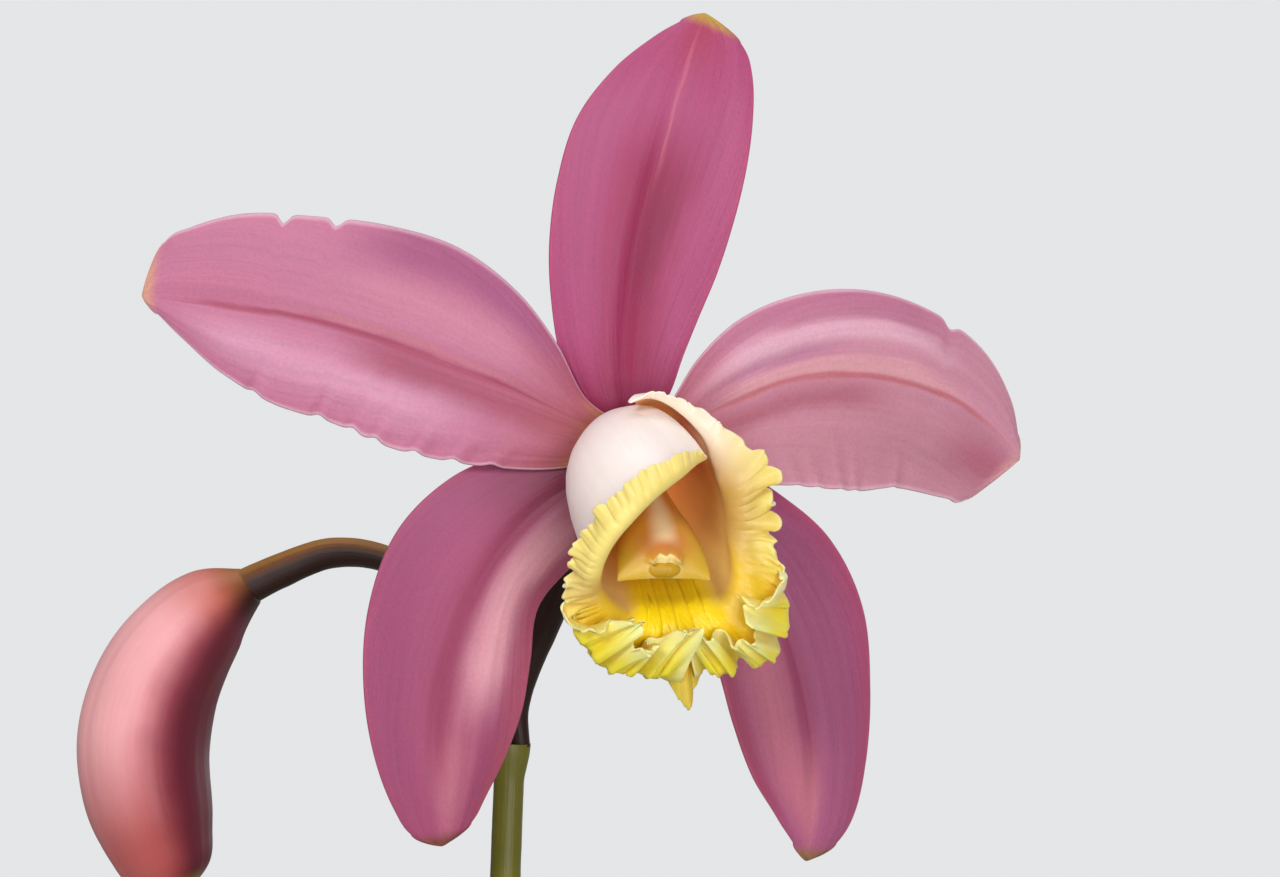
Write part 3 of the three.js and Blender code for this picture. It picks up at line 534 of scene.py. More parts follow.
def petal_left_finish():
    return tepal_finish(
        "petal_left_skin",
        body=(186, 112, 142),
        back=PETAL_BACK,
        edge=(214, 176, 192),
        bands=[
            (0.95, 0.8, 0.7, 0.05, 0.6, (152, 76, 118), 0.8),
            # Painted highlights along the raised folds at v = 0.42 and v = -0.5.
            (0.45, 0.4, 0.4, 0.18, 0.62, (196, 126, 148), 0.7),
            (-0.55, -0.5, 0.45, 0.3, 0.9, (210, 150, 176), 0.8),
            # Painted shade in the hollow at v = -0.2.
            (-0.25, -0.1, 0.34, 0.02, 0.55, (156, 68, 94), 0.85),
            (0.2, 0.2, 0.4, 0.7, 0.98, (184, 104, 134), 0.6),
            (0.0, 0.0, 0.08, 0.05, 0.93, (160, 66, 92), 0.85),
            (0.1, 0.08, 0.06, 0.1, 0.7, (196, 124, 130), 0.5),
        ],
        foot=[((160, 76, 86), 0.28), ((190, 124, 84), 0.09)],
        tip=(208, 150, 128),
    )


def petal_right_finish():
    return tepal_finish(
        "petal_right_skin",
        body=(198, 136, 156),
        back=PETAL_BACK,
        edge=(222, 180, 194),
        bands=[
            (0.6, 0.6, 0.8, 0.1, 1.2, (186, 126, 142), 0.8),
            (-0.95, -0.9, 0.5, 0.05, 0.75, (178, 104, 136), 0.7),
            # Painted highlight along the raised fold at v = -0.5, then painted shade in the hollow at v =
            # -0.3.
            (-0.5, -0.55, 0.22, 0.15, 0.75, (224, 176, 194), 0.75),
            (-0.35, -0.3, 0.16, 0.15, 0.5, (172, 108, 142), 0.5),
            (-0.1, -0.1, 0.2, 0.15, 0.8, (218, 160, 164), 0.7),
            # Painted shade in the hollow at v = 0.25.
            (0.22, 0.15, 0.22, 0.02, 0.6, (168, 92, 110), 0.75),
            (0.0, 0.0, 0.07, 0.1, 0.93, (184, 98, 106), 0.8),
            (0.5, 0.4, 0.5, 0.82, 1.2, (166, 82, 108), 0.7),
        ],
        foot=[((160, 78, 92), 0.28), ((196, 124, 92), 0.08)],
        tip=(204, 146, 150),
    )


def sepal_left_finish():
    return tepal_finish(
        "sepal_left_skin",
        body=(160, 74, 110),
        back=SEPAL_BACK,
        edge=(174, 78, 110),
        bands=[
            (0.75, 0.7, 0.6, 0.1, 0.9, (152, 74, 114), 0.6),
            # Painted highlight along the raised fold at v = -0.5, the half that faces the light.
            (-0.55, -0.35, 0.5, 0.08, 0.7, (214, 152, 164), 0.95),
            (-0.3, -0.2, 0.5, 0.72, 1.0, (192, 116, 134), 0.7),
            (-0.95, -0.95, 0.3, 0.25, 1.0, (164, 78, 100), 0.75),
            (0.05, 0.0, 0.28, 0.02, 0.85, (146, 54, 88), 0.8),
        ],
        # Painted shadow from the lip over the sepal's foot.
        foot=[((112, 46, 66), 0.36)],
        tip=(118, 62, 44),
    )


def sepal_right_finish():
    return tepal_finish(
        "sepal_right_skin",
        body=(160, 82, 120),
        back=SEPAL_BACK,
        edge=(180, 82, 112),
        bands=[
            # Painted highlight along the raised fold at v = 0.5.
            (0.5, 0.4, 0.55, 0.3, 0.95, (188, 106, 126), 0.85),
            (0.95, 0.95, 0.25, 0.3, 0.95, (152, 58, 86), 0.7),
            (-0.95, -0.95, 0.3, 0.2, 0.95, (166, 72, 108), 0.7),
            (0.05, 0.0, 0.22, 0.1, 0.85, (152, 60, 94), 0.7),
            (0.1, 0.1, 0.4, 0.8, 0.97, (196, 120, 128), 0.7),
        ],
        # Painted shadow from the lip over the sepal's foot.
        foot=[((108, 42, 76), 0.38)],
        tip=(130, 96, 50),
    )


def lip_finish():
    """Cream outside, yellow inside, gold on the keels and pale along the crisped margin, with painted shade
    high on the throat's right wall, at the mouth of the flared margin and in the disc's grooves.
    """
    finish = Finish("lip_skin", Subsurface_Weight=0.25, Subsurface_Scale=0.002, Sheen_Weight=0.05)
    u, s = finish.blade()
    angle = u * (LIP_RIGHT - LIP_LEFT) + LIP_LEFT
    aside = abs(angle)
    margin = (s - MOUTH_AT) / (1 - MOUTH_AT)
    patches = finish.spots(170.0)
    veins = finish.streaks(u * 60, s * 2.5)
    front_lobe = finish.fall(aside, 56, 84)

    wall = finish.mix(finish.step(s, 0.1, 0.5), rgb(236, 148, 76), rgb(242, 202, 116))
    # High on the throat's right wall: its own red-orange, darkened by painted shade inside the tube.
    red_and_painted_shade = finish.step(angle, 80, 120) * finish.fall(s, 0.3, 0.42) * finish.fall(angle, 136, 150)
    wall = finish.mix(red_and_painted_shade, wall, rgb(206, 104, 62))

    # The flare is darker at the mouth and lighter outwards, most on the right: painted shade where the margin
    # turns out of the tube.
    outwards = finish.step(margin + (patches - 0.5) * 0.5, 0.0, 0.75)
    flare = finish.mix(outwards, rgb(206, 166, 84), rgb(226, 198, 116))
    flare = finish.mix(finish.fall(angle, -100, -80), flare, rgb(246, 218, 124))
    right_flare = finish.mix(finish.step(margin, 0.2, 0.9), rgb(198, 160, 82), rgb(236, 206, 108))
    flare = finish.mix(finish.step(angle, 50, 80), flare, right_flare)
    finish.colour = finish.mix(finish.step(s + finish.step(angle, 90, 130) * 0.1, 0.46, 0.56), wall, flare)
    finish.lay(finish.step(angle, 112, 142) * finish.step(s, 0.2, 0.44), rgb(250, 224, 202))

    outwards = finish.step(margin + (patches - 0.5) * 0.4, 0.3, 0.95)
    lobe = finish.mix(outwards, rgb(232, 192, 34), rgb(242, 214, 86))
    finish.lay(front_lobe * finish.step(s, 0.5, 0.58), lobe)

    disc = finish.fall(aside, 26, 42) * finish.step(s, 0.2, 0.34) * finish.fall(s, 0.62, 0.76)
    grooves = (angle * math.radians(KEELS)).math("COSINE")
    grooves = grooves * finish.fall(aside, 16, 30) * finish.fall(s, 0.46, 0.6)
    # Darker orange in the grooves between the keels: painted shade in the grooves.
    finish.lay(disc, finish.mix(finish.step(grooves, 0.5, 1.0) * 0.8, rgb(255, 216, 0), rgb(224, 148, 0)))

    outside = finish.mix(finish.fall(s, 0.0, 0.24), rgb(255, 236, 230), rgb(255, 224, 218))
    paler = finish.step(s + (patches - 0.5) * 0.1, 0.86, 1.0)
    cuff = finish.mix(paler, rgb(244, 216, 52), rgb(254, 242, 152))
    outside = finish.mix(front_lobe * finish.step(s, 0.3, 0.5), outside, cuff)
    olive = front_lobe * finish.fall(aside, 6, 12) * finish.step(s, 0.66, 0.78)
    outside = finish.mix(olive * 0.6, outside, rgb(196, 168, 54))
    finish.lay(1 - finish.attribute("front"), outside)
    finish.lay(olive * 0.7, rgb(196, 168, 54))
    pale_edge = finish.step(s, 0.955, 1.0) * finish.fall(angle, 112, 142)
    finish.lay(pale_edge * 0.5, rgb(242, 226, 152))

    value = 1 + (veins - 0.5) * 0.12 + (patches - 0.5) * 0.1
    normal = finish.bump(veins * 0.4 + finish.spots(1400.0, 2) * 0.3, 0.25, 0.5)
    return finish.end(0.42 + (patches - 0.5) * 0.15, normal, value)


def column_finish():
    """A painted highlight of wax cream along the keel, amber on the wings, rose round the keel's lower end,
    and darker gold with painted shade under the teeth.
    """
    finish = Finish("column_skin", Subsurface_Weight=0.2, Subsurface_Scale=0.0015)
    d, turn = finish.blade()
    keel = finish.band(turn, 0.25, 0.065)
    patches = finish.spots(260.0, 3)
    finish.colour = finish.mix(finish.step(d, 0.35, 0.85), rgb(214, 138, 50), rgb(208, 168, 44))
    rose = finish.band(turn, 0.25, 0.16) * finish.band(d, 0.68, 0.2)
    finish.lay(rose * 0.75, rgb(208, 104, 70))
    # Painted highlight: wax cream along the keel.
    finish.lay(keel * finish.fall(d, 0.62, 0.74), rgb(244, 212, 162))
    middle = finish.band(turn, 0.25, 0.07)
    finish.lay(middle * finish.step(d, 0.77, 0.79), rgb(246, 226, 150))
    # Darker gold below the teeth: the anther's own gold, with painted shade under the teeth.
    finish.lay(middle * finish.step(d, 0.82, 0.86), rgb(190, 146, 24))
    value = 1 + (patches - 0.5) * 0.18
    normal = finish.bump(patches, 0.3, 0.4)
    return finish.end(0.38 + patches * 0.1, normal, value)


def anther_finish():
    finish = Finish("anther_skin", Subsurface_Weight=0.15, Subsurface_Scale=0.001)
    grain = finish.spots(1500.0, 3)
    finish.colour = finish.mix(grain, rgb(170, 126, 6), rgb(204, 162, 22))
    return finish.end(0.4 + grain * 0.2, finish.bump(grain, 0.15, 0.5))


def bud_finish(painted_shade_turn, seam_turn):
    """Rose skin with a painted highlight, and painted shade over the bud's own plum along one flank; redder
    at both ends, with fine lines from foot to tip.
    """
    finish = Finish("bud_skin", Subsurface_Weight=0.12, Subsurface_Scale=0.002, Specular_IOR_Level=0.2)
    u, v = finish.blade()
    lines = finish.streaks(u * 2, v * 60, 3)
    drift = finish.spots(90.0, 3)
    around = abs(finish.add("ShaderNodeMath", {"operation": "WRAP"}, [v - painted_shade_turn, 0.5, -0.5]))
    around = around + (drift - 0.5) * 0.05
    # Painted highlight: pale rose away from the shaded flank, deeper rose towards it.
    finish.colour = finish.mix(finish.step(around, 0.14, 0.27), rgb(190, 92, 106), rgb(234, 168, 172))
    finish.lay(finish.step(u, 0.5, 0.88) * 0.9, rgb(172, 72, 70))
    finish.lay(finish.fall(u, 0.02, 0.26), rgb(186, 96, 76))
    # Painted shade along the flank, over the bud's own plum.
    finish.lay(finish.fall(around, 0.09, 0.23), rgb(106, 38, 52))
    seam = ((v - seam_turn) * (2 * math.pi * BUD_SEAMS)).math("COSINE")
    finish.lay(finish.step(seam, 0.94, 1.0) * 0.1, rgb(150, 62, 76))
    finish.lay(finish.step(u, 0.95, 1.0), rgb(140, 116, 58))
    # At the foot: painted shade, dark brown, on the shaded flank, and painted light, gold-brown, on the
    # other.
    joint = finish.mix(finish.step(around, 0.1, 0.4), rgb(52, 24, 20), rgb(148, 96, 52))
    finish.lay(finish.fall(u + (drift - 0.5) * 0.06, 0.0, 0.1), joint)
    value = 1 + (lines - 0.5) * 0.14 + (drift - 0.5) * 0.12
    normal = finish.bump(lines * 0.5 + finish.spots(2000.0, 2) * 0.2, 0.2, 0.5)
    return finish.end(0.42 + (drift - 0.5) * 0.2, normal, value)


def pedicel_finish():
    """Brown stems of bloom and bud, with painted light, golden, on the faces that look up, and painted shade,
    nearly black, on those that look down.
    """
    finish = Finish("pedicel_skin", Specular_IOR_Level=0.25)
    facing = finish.add("ShaderNodeNewGeometry", output=1)
    level = finish.axis(facing, 2)
    length, turn = finish.stem()
    lines = finish.streaks(length * 90, turn * 30)
    spots = finish.spots(700.0, 3)
    # Painted shade and painted light: darker on faces that look down, golden on faces that look up.
    finish.colour = finish.mix(finish.step(level, 0.05, 0.5), rgb(44, 24, 20), rgb(90, 52, 28))
    finish.lay(finish.step(level + (lines - 0.5) * 0.3, 0.35, 0.95), rgb(142, 96, 34))
    value = 1 + (lines - 0.5) * 0.3 + (spots - 0.5) * 0.3
    return finish.end(0.42 + spots * 0.12, finish.bump(lines, 0.15, 0.5), value)


# Finishes of the plant


def stalk_finish():
    finish = Finish("stalk_skin")
    length, turn = finish.stem()
    lines = finish.streaks(length * 60, turn * 36)
    blotch = finish.spots(160.0, 3)
    finish.colour = finish.mix(blotch, rgb(88, 88, 8), rgb(122, 114, 22))
    finish.lay(finish.step(blotch, 0.62, 0.75) * 0.5, rgb(120, 84, 44))
    value = 1 + (lines - 0.5) * 0.3
    return finish.end(0.4 + blotch * 0.15, finish.bump(lines, 0.15, 0.5), value)


def cane_finish(name, young):
    """Green skin, with grey-green bloom, olive scars at the rings and dry furrows when old."""
    finish = Finish(name)
    length, turn = finish.stem()
    grooves = finish.streaks(length * 14, turn * 22, 4, 0.6)
    blotch = finish.spots(70.0, 4)
    green = finish.mix(blotch, rgb(96, 118, 52), rgb(138, 152, 78))
    old = finish.mix(blotch, rgb(132, 128, 72), rgb(172, 162, 104))
    finish.colour = finish.mix(young, old, green)
    rings = length / (INTERNODE * MM)
    from_ring = abs(rings - rings.math("ROUND"))
    finish.lay(finish.fall(from_ring, 0.012, 0.05) * 0.75, rgb(118, 92, 58))
    finish.lay(finish.fall(from_ring, 0.05, 0.16) * 0.35, rgb(176, 172, 120))
    specks = finish.step(finish.spots(900.0, 2), 0.66, 0.72)
    finish.lay(specks * 0.4, rgb(84, 62, 44))
    value = 1 + (grooves - 0.5) * 0.3
    normal = finish.bump(grooves, 0.5, 0.6)
    return finish.end(0.4 + (blotch - 0.5) * 0.3, normal, value)


def leaf_finish(name, light, dark):
    """Leathery skin: a pale rib, close lines along the leaf, a thin bronze edge and old specks."""
    finish = Finish(name, Coat_Roughness=0.35)
    u, v01 = finish.blade()
    v = v01 * 2 - 1
    lines = finish.streaks(u * 3, v01 * 70, 3)
    blotch = finish.spots(36.0, 4)
    finish.colour = finish.mix(finish.step(blotch, 0.3, 0.7), dark, light)
    finish.lay(finish.fall(abs(v), 0.015, 0.07) * 0.6, rgb(150, 168, 84))
    finish.lay(finish.fall(u, 0.02, 0.14), rgb(150, 160, 92))
    edge = finish.step(abs(v), 0.95, 1.0)
    finish.lay(edge * 0.55, rgb(124, 92, 60))
    specks = finish.step(finish.spots(420.0, 2), 0.69, 0.74)
    finish.lay(specks * 0.5, rgb(76, 66, 40))
    finish.lay((1 - finish.attribute("front")) * 0.6, rgb(132, 150, 92))
    finish.lay(finish.step(u + (blotch - 0.5) * 0.05, 0.975, 0.995) * 0.8, rgb(138, 104, 62))
    value = 1 + (lines - 0.5) * 0.22
    normal = finish.bump(lines * 0.6 + blotch * 0.5, 0.4, 0.5)
    return finish.end(0.36 + (blotch - 0.5) * 0.3, normal, value)


def husk_finish():
    """Dry paper: straw with grey weather stains and long fibres."""
    finish = Finish("husk_paper", Sheen_Weight=0.1)
    u, v = finish.blade()
    fibres = finish.streaks(u * 5, v * 110, 4, 0.65)
    stain = finish.spots(120.0, 4)
    finish.colour = finish.mix(finish.step(fibres, 0.3, 0.7), rgb(166, 144, 108), rgb(220, 206, 172))
    finish.lay(finish.step(stain, 0.5, 0.72) * 0.55, rgb(132, 116, 92))
    finish.lay(finish.step(stain, 0.66, 0.76) * 0.5, rgb(88, 72, 58))
    normal = finish.bump(fibres, 0.5, 0.8)
    return finish.end(0.75 + (fibres - 0.5) * 0.2, normal)


def shoot_finish():
    finish = Finish("shoot_skin")
    u, v = finish.blade()
    lines = finish.streaks(u * 3, v * 60, 3)
    blush = finish.spots(120.0, 3)
    finish.colour = finish.mix(finish.step(u, 0.1, 0.9), rgb(150, 168, 96), rgb(112, 146, 58))
    finish.lay(finish.step(blush, 0.52, 0.72) * 0.5, rgb(150, 100, 84))
    value = 1 + (lines - 0.5) * 0.25
    return finish.end(0.4 + blush * 0.15, finish.bump(lines, 0.3, 0.6), value)


def rhizome_finish():
    finish = Finish("rhizome_skin")
    length, turn = finish.stem()
    scales = finish.streaks(length * 60, turn * 10, 4)
    finish.colour = finish.mix(scales, rgb(104, 88, 54), rgb(158, 146, 98))
    dry = finish.step(finish.spots(300.0, 3), 0.55, 0.7)
    finish.lay(dry * 0.6, rgb(186, 170, 132))
    return finish.end(0.6 + scales * 0.2, finish.bump(scales, 0.6, 0.7))


def root_finish():
    """Silver skin, rubbed to olive in places, with a green growing tip."""
    finish = Finish("root_skin")
    length = finish.attribute("share")
    cracks = finish.spots(800.0, 4)
    rubbed = finish.spots(160.0, 3)
    finish.colour = finish.mix(cracks, rgb(178, 176, 158), rgb(222, 220, 206))
    finish.lay(finish.step(rubbed, 0.5, 0.7) * 0.5, rgb(150, 144, 104))
    finish.lay(finish.step(length, 0.93, 0.985), rgb(150, 178, 72))
    return finish.end(0.7 + (cracks - 0.5) * 0.2, finish.bump(cracks, 0.25, 0.7))


def bark_finish(name, light, dark):
    """Fir bark: corky layers, dark where it is damp, with pale broken faces."""
    finish = Finish(name)
    layers = finish.spots(150.0, 5, 0.65)
    grain = finish.spots(900.0, 4, 0.7)
    blotch = finish.spots(40.0, 2)
    finish.colour = finish.mix(finish.step(layers, 0.32, 0.7), dark, light)
    finish.lay(finish.step(layers, 0.6, 0.75) * 0.5, rgb(168, 122, 88))
    finish.lay(finish.step(blotch, 0.55, 0.75) * 0.5, rgb(66, 46, 36))
    height = layers + grain * 0.35
    return finish.end(0.85 + (grain - 0.5) * 0.2, finish.bump(height, 1.4, 0.9), 0.8 + grain * 0.4)


def clay_finish():
    """Fired clay: fine grit, throwing lines, pale salts below the rim and a worn edge."""
    finish = Finish("pot_clay")
    grit = finish.spots(1100.0, 3, 0.7)
    cloud = finish.spots(22.0, 5, 0.6)
    level = finish.axis(finish.place, 2) / MM
    finish.colour = finish.mix(finish.step(cloud, 0.3, 0.72), rgb(166, 90, 62), rgb(196, 120, 86))
    salts = finish.spots(60.0, 5, 0.7)
    high = finish.band(level + (cloud - 0.5) * 30, 78, 26) * finish.step(salts, 0.46, 0.68)
    low = finish.fall(level + (cloud - 0.5) * 24, 4, 26) * finish.step(salts, 0.4, 0.66)
    finish.lay(high * 0.75, rgb(222, 204, 186))
    finish.lay(low * 0.7, rgb(214, 196, 176))
    damp = finish.step(finish.spots(34.0, 4), 0.6, 0.74) * finish.band(level, 40, 50)
    finish.lay(damp * 0.35, rgb(110, 96, 62))
    lines = (level * 2.1 + cloud * 5).math("SINE")
    value = 0.95 + (grit - 0.5) * 0.3
    normal = finish.bump(grit * 0.5 + lines * 0.12 + salts * 0.3, 0.5, 0.7)
    return finish.end(0.86 + (grit - 0.5) * 0.15, normal, value)


def floor_finish():
    """Pale and plain, with a faint glow that grows outwards, so that it stays pale to its edge."""
    finish = Finish("plain_floor", Emission_Strength=0.42)
    grain = finish.spots(30.0, 2)
    distance = finish.add("ShaderNodeVectorMath", {"operation": "LENGTH"}, [finish.place], output=1)
    glow = finish.mix(finish.step(distance, 0.4, 1.2), rgb(0, 0, 0), rgb(196, 197, 198))
    finish.colour = finish.mix(grain, rgb(208, 208, 206), rgb(216, 216, 214))
    return finish.end(0.8 + grain * 0.05, glow=glow)


# Sepals and petals. Each rib is a bezier from the bloom's centre: x to the viewer's right,
# y away from the viewer, z up. The widths of its two sides, as seen from in front with the
# tip up, stand at WIDTHS_AT of its length. A side is -1 for the left and 1 for the right.
# folds: v, width, height, u from, u to. pleats: side, height, where along it.
# notches: side, where along it, depth, width.
WIDTHS_AT = [0, 0.08, 0.17, 0.28, 0.41, 0.55, 0.69, 0.82, 0.92, 0.97, 1]
TEPALS = {
    "dorsal_sepal": {
        "rib": [[-0.4, 1.6, 2.5], [-2.6, -0.6, 17], [2.6, -2, 33], [8, 2, 48.2]],
        "left": [2.8, 4.9, 6.7, 8.0, 9.2, 9.8, 9.5, 7.2, 4.1, 2.0, 0.4],
        "right": [2.8, 5.1, 6.5, 8.0, 9.4, 10.0, 9.8, 8.7, 6.9, 4.7, 0.4],
        "facing": [0.1, -1, 0.1],
        "camber": 0.12,
        "folds": [(-0.5, 0.4, 0.3, 0.2, 0.9), (0.1, 0.35, -0.3, 0.1, 0.7)],
        "pleats": (1, 0, []),
        "notches": [],
    },
    "sepal_left": {
        "rib": [[-2.6, 1.5, -2.2], [-17, -1, -6.5], [-24, 0, -27], [-21, 5, -43.9]],
        "left": [3.2, 6.2, 7.2, 7.0, 6.8, 8.4, 8.9, 7.5, 5.1, 3.3, 0.4],
        "right": [3.2, 5.4, 6.8, 9.2, 10.7, 10.2, 8.6, 6.6, 4.6, 3.1, 0.4],
        "facing": [0.1, -1, 0],
        "camber": 0.14,
        "folds": [(-0.5, 0.35, 0.7, 0.1, 0.9), (0.1, 0.3, -0.4, 0.1, 0.8)],
        "pleats": (1, 0, []),
        "notches": [],
    },
    "sepal_right": {
        "rib": [[2.6, 1.5, -2.2], [14.2, 5.2, -7], [22.9, 9, -27.3], [19.8, 13, -46.4]],
        "left": [3.2, 4.4, 5.4, 7.1, 9.3, 9.7, 8.2, 6.7, 5.2, 3.3, 0.4],
        "right": [3.0, 4.8, 6.3, 7.6, 8.4, 8.5, 8.4, 6.9, 3.8, 1.7, 0.4],
        "facing": [0.3, -1, 0],
        "camber": 0.14,
        "folds": [(0.5, 0.35, 0.5, 0.3, 0.9), (0.0, 0.25, -0.3, 0.2, 0.8)],
        "pleats": (1, 0, []),
        "notches": [],
    },
    "petal_left": {
        "rib": [[-2.4, 0.2, 1.4], [-19, -2.5, 10.5], [-36, -3, 15.5], [-53.9, 1, 17]],
        "left": [3.2, 6.2, 8.3, 9.9, 10.7, 10.0, 9.5, 7.1, 3.7, 1.6, 0.4],
        "right": [1.8, 2.6, 6.5, 10.1, 12.3, 12.3, 11.3, 10.2, 7.9, 5.8, 0.4],
        "facing": [0.1, -1, 0],
        "camber": 0.05,
        "folds": [(0.42, 0.25, 0.5, 0.15, 0.65), (-0.2, 0.2, -0.35, 0.05, 0.5), (-0.5, 0.25, 0.4, 0.3, 0.9)],
        "pleats": (-1, 0.5, [0.19, 0.27, 0.355, 0.446, 0.5, 0.58, 0.734]),
        "notches": [(1, 0.642, 0.08, 0.012), (1, 0.742, 0.1, 0.011)],
    },
    "petal_right": {
        "rib": [[3, 0.2, 0.8], [16, 3.2, 10], [33, 12, 13], [44.6, 22, -1]],
        "left": [1.8, 3.1, 5.7, 8.0, 9.2, 9.4, 8.5, 6.9, 4.1, 1.8, 0.4],
        "right": [3.0, 6.8, 9.4, 11.1, 12.5, 13.0, 12.0, 11.0, 9.5, 7.8, 0.4],
        "facing": [0.3, -1, 0.08],
        "camber": 0.08,
        "folds": [(-0.5, 0.18, 0.5, 0.15, 0.75), (-0.3, 0.12, -0.3, 0.15, 0.5), (0.25, 0.2, -0.4, 0.05, 0.6)],
        "pleats": (1, 0.14, [0.3, 0.37, 0.46, 0.52, 0.69]),
        "notches": [(-1, 0.735, 0.1, 0.014)],
    },
}
RIB_GROOVE = 0.32
RIB_WIDTH = 0.9


def tepal_surface(shape, u, v):
    """The middle surface of a sepal or petal, with its rib, folds and rippled margins."""
    rib = np.array(shape["rib"], float)
    near, far = np.clip(u - 1e-3, 0, 1)[..., None], np.clip(u + 1e-3, 0, 1)[..., None]
    heading = unit(bezier(far, rib) - bezier(near, rib))
    across = unit(np.cross(heading, np.array(shape["facing"], float)))
    facing = unit(np.cross(across, heading))
    half = np.zeros_like(u)
    pleat_side, pleat_height, pleats = shape["pleats"]
    for sign, side in ((-1, "left"), (1, "right")):
        width = read_outline(list(zip(WIDTHS_AT, shape[side])), u)
        last = np.clip((u - WIDTHS_AT[-2]) / (1 - WIDTHS_AT[-2]), 0, 1)
        width = np.where(last > 0, shape[side][-2] * (1 - last**1.5) ** 0.85 + 0.1, width)
        for at in pleats:
            width = width * (1 - 0.08 * pleat_height * hump(u, at, 0.014) * (sign == pleat_side))
        for notch_side, at, depth, reach in shape["notches"]:
            if notch_side == sign:
                width = width * (1 - depth * hump(u, at, reach))
        half = np.where(v * sign >= 0, width, half)
    x = half * v
    lift = -shape["camber"] * half * v * v
    lift -= RIB_GROOVE * hump(x, 0, RIB_WIDTH) * (1 - u**4)
    lift += 0.35 * RIB_GROOVE * hump(np.abs(x), 2 * RIB_WIDTH, RIB_WIDTH) * (1 - u**3)
    for at, width, depth, start, stop in shape["folds"]:
        ends = soft_step(u, start - 0.1, start + 0.15) * (1 - soft_step(u, stop - 0.15, stop + 0.1))
        lift += depth * hump(v, at, width) * ends
    for k, at in enumerate(pleats):
        reach = soft_step(v * pleat_side, 0.5 + 0.12 * math.sin(2.3 * k), 0.98)
        step = (u + 0.05 * (1 - v * pleat_side) - at) / 0.017
        lift += pleat_height * reach * (hump(step, 0, 1) - 0.6 * hump(step, 2.2, 1.6))
    lift += 0.25 * np.sin(7 * u + 2 * v) * soft_step(np.abs(v), 0.5, 1)
    return BLOOM_CENTRE + bezier(u[..., None], rib) + across * x[..., None] + facing * lift[..., None]


def make_tepal(name, finish, slot):
    rows = 1 - (1 - np.linspace(0, 1, TEPAL_ROWS)) ** 1.25
    reach = np.pi / 2 * 0.92
    columns = np.sin(np.linspace(-1, 1, TEPAL_COLUMNS) * reach) / math.sin(reach)
    u, v = np.meshgrid(rows, columns, indexing="ij")
    thick = between(0.9, 0.28, np.maximum(v * v, u**6))
    mesh = blade_mesh(name, tepal_surface(TEPALS[name], u, v), thick, u, (v + 1) / 2, front=-1)
    put(name + "_blade", mesh, finish, name, slot=slot)


# Lip. Angles run round its tube: 0 is the floor, negative the viewer's left.
LIP_LEFT = -223
LIP_RIGHT = 186
LIP_LEFT_FOOT = -183
LIP_RIGHT_FOOT = 168
LIP_MOUTH = [
    (-223, 11.6), (-209, 14), (-189, 17.6), (-164, 20.6), (-139, 22.4), (-99, 22.4), (-69, 20.5),
    (0, 19.5), (46, 19), (81, 15.5), (101, 14.5), (117, 13), (131, 9.5), (151, 5.5), (169, 3.2),
    (186, 3.6),
]
LIP_RADIUS = [
    (-223, 8.1), (-160, 8.3), (-60, 8.3), (0, 8), (46, 8.5), (81, 7.1), (117, 7.6), (137, 8.9),
    (186, 9.0),
]
LIP_BULGE = [(-200, 0), (-165, 0.9), (-115, 1.5), (-70, 0.6), (-40, 0), (186, 0)]
LIP_FLARE = [
    (-223, 0.4), (-209, 1.7), (-189, 3.4), (-150, 4.8), (-99, 4.8), (-80, 4.7), (-60, 5), (-40, 6.6),
    (-12, 6.6), (-5, 8.3), (0, 11.4), (5, 8.5), (12, 7.1), (30, 8.3), (46, 8.6), (62, 6.6),
    (81, 5.6), (117, 7), (131, 3.6), (151, 1.7), (170, 1.2), (186, 0.4),
]
LIP_TURNED = [
    (-223, 120), (-189, 160), (-110, 160), (-85, 135), (-60, 95), (-25, 74), (0, 66), (25, 74),
    (46, 86), (81, 100), (117, 115), (137, 118), (151, 120), (186, 90),
]
LIP_RUFFLE = [
    (-223, 0), (-180, 0.1), (-110, 0.35), (-75, 0.9), (-45, 1.6), (0, 1.4), (45, 1.7), (75, 0.9),
    (120, 0.5), (186, 0),
]
LIP_TIP_AT = 0
MOUTH_AT = 0.5  # where the tube ends and the margin starts
TURN_SHARE = 0.55  # how much of the margin's width takes its bend
FLARE_SHARE = 0.62  # how much of the front lobe's margin lies flat, before its cuff
CUFF_HEIGHT = 7.7
CUFF_BEND = 0.6  # radius of the fold at the cuff's foot
CUFF_FOLD = 2.7  # how far the cuff is folded over, in radians
KEELS = 30  # grooves in a whole turn of the tube


def axis_turned(turn):
    level = math.cos(math.radians(LIP_DROOP))
    across, ahead = math.sin(math.radians(turn)), math.cos(math.radians(turn))
    return np.array([across * level, -ahead * level, -math.sin(math.radians(LIP_DROOP))])


def side_of(turn):
    return np.array([math.cos(math.radians(turn)), math.sin(math.radians(turn)), 0])


LIP_AXIS = axis_turned(LIP_TURN)
LIP_SIDE = turned(side_of(LIP_TURN), LIP_AXIS, math.radians(LIP_ROLL))
LIP_TOP = unit(np.cross(LIP_AXIS, LIP_SIDE))


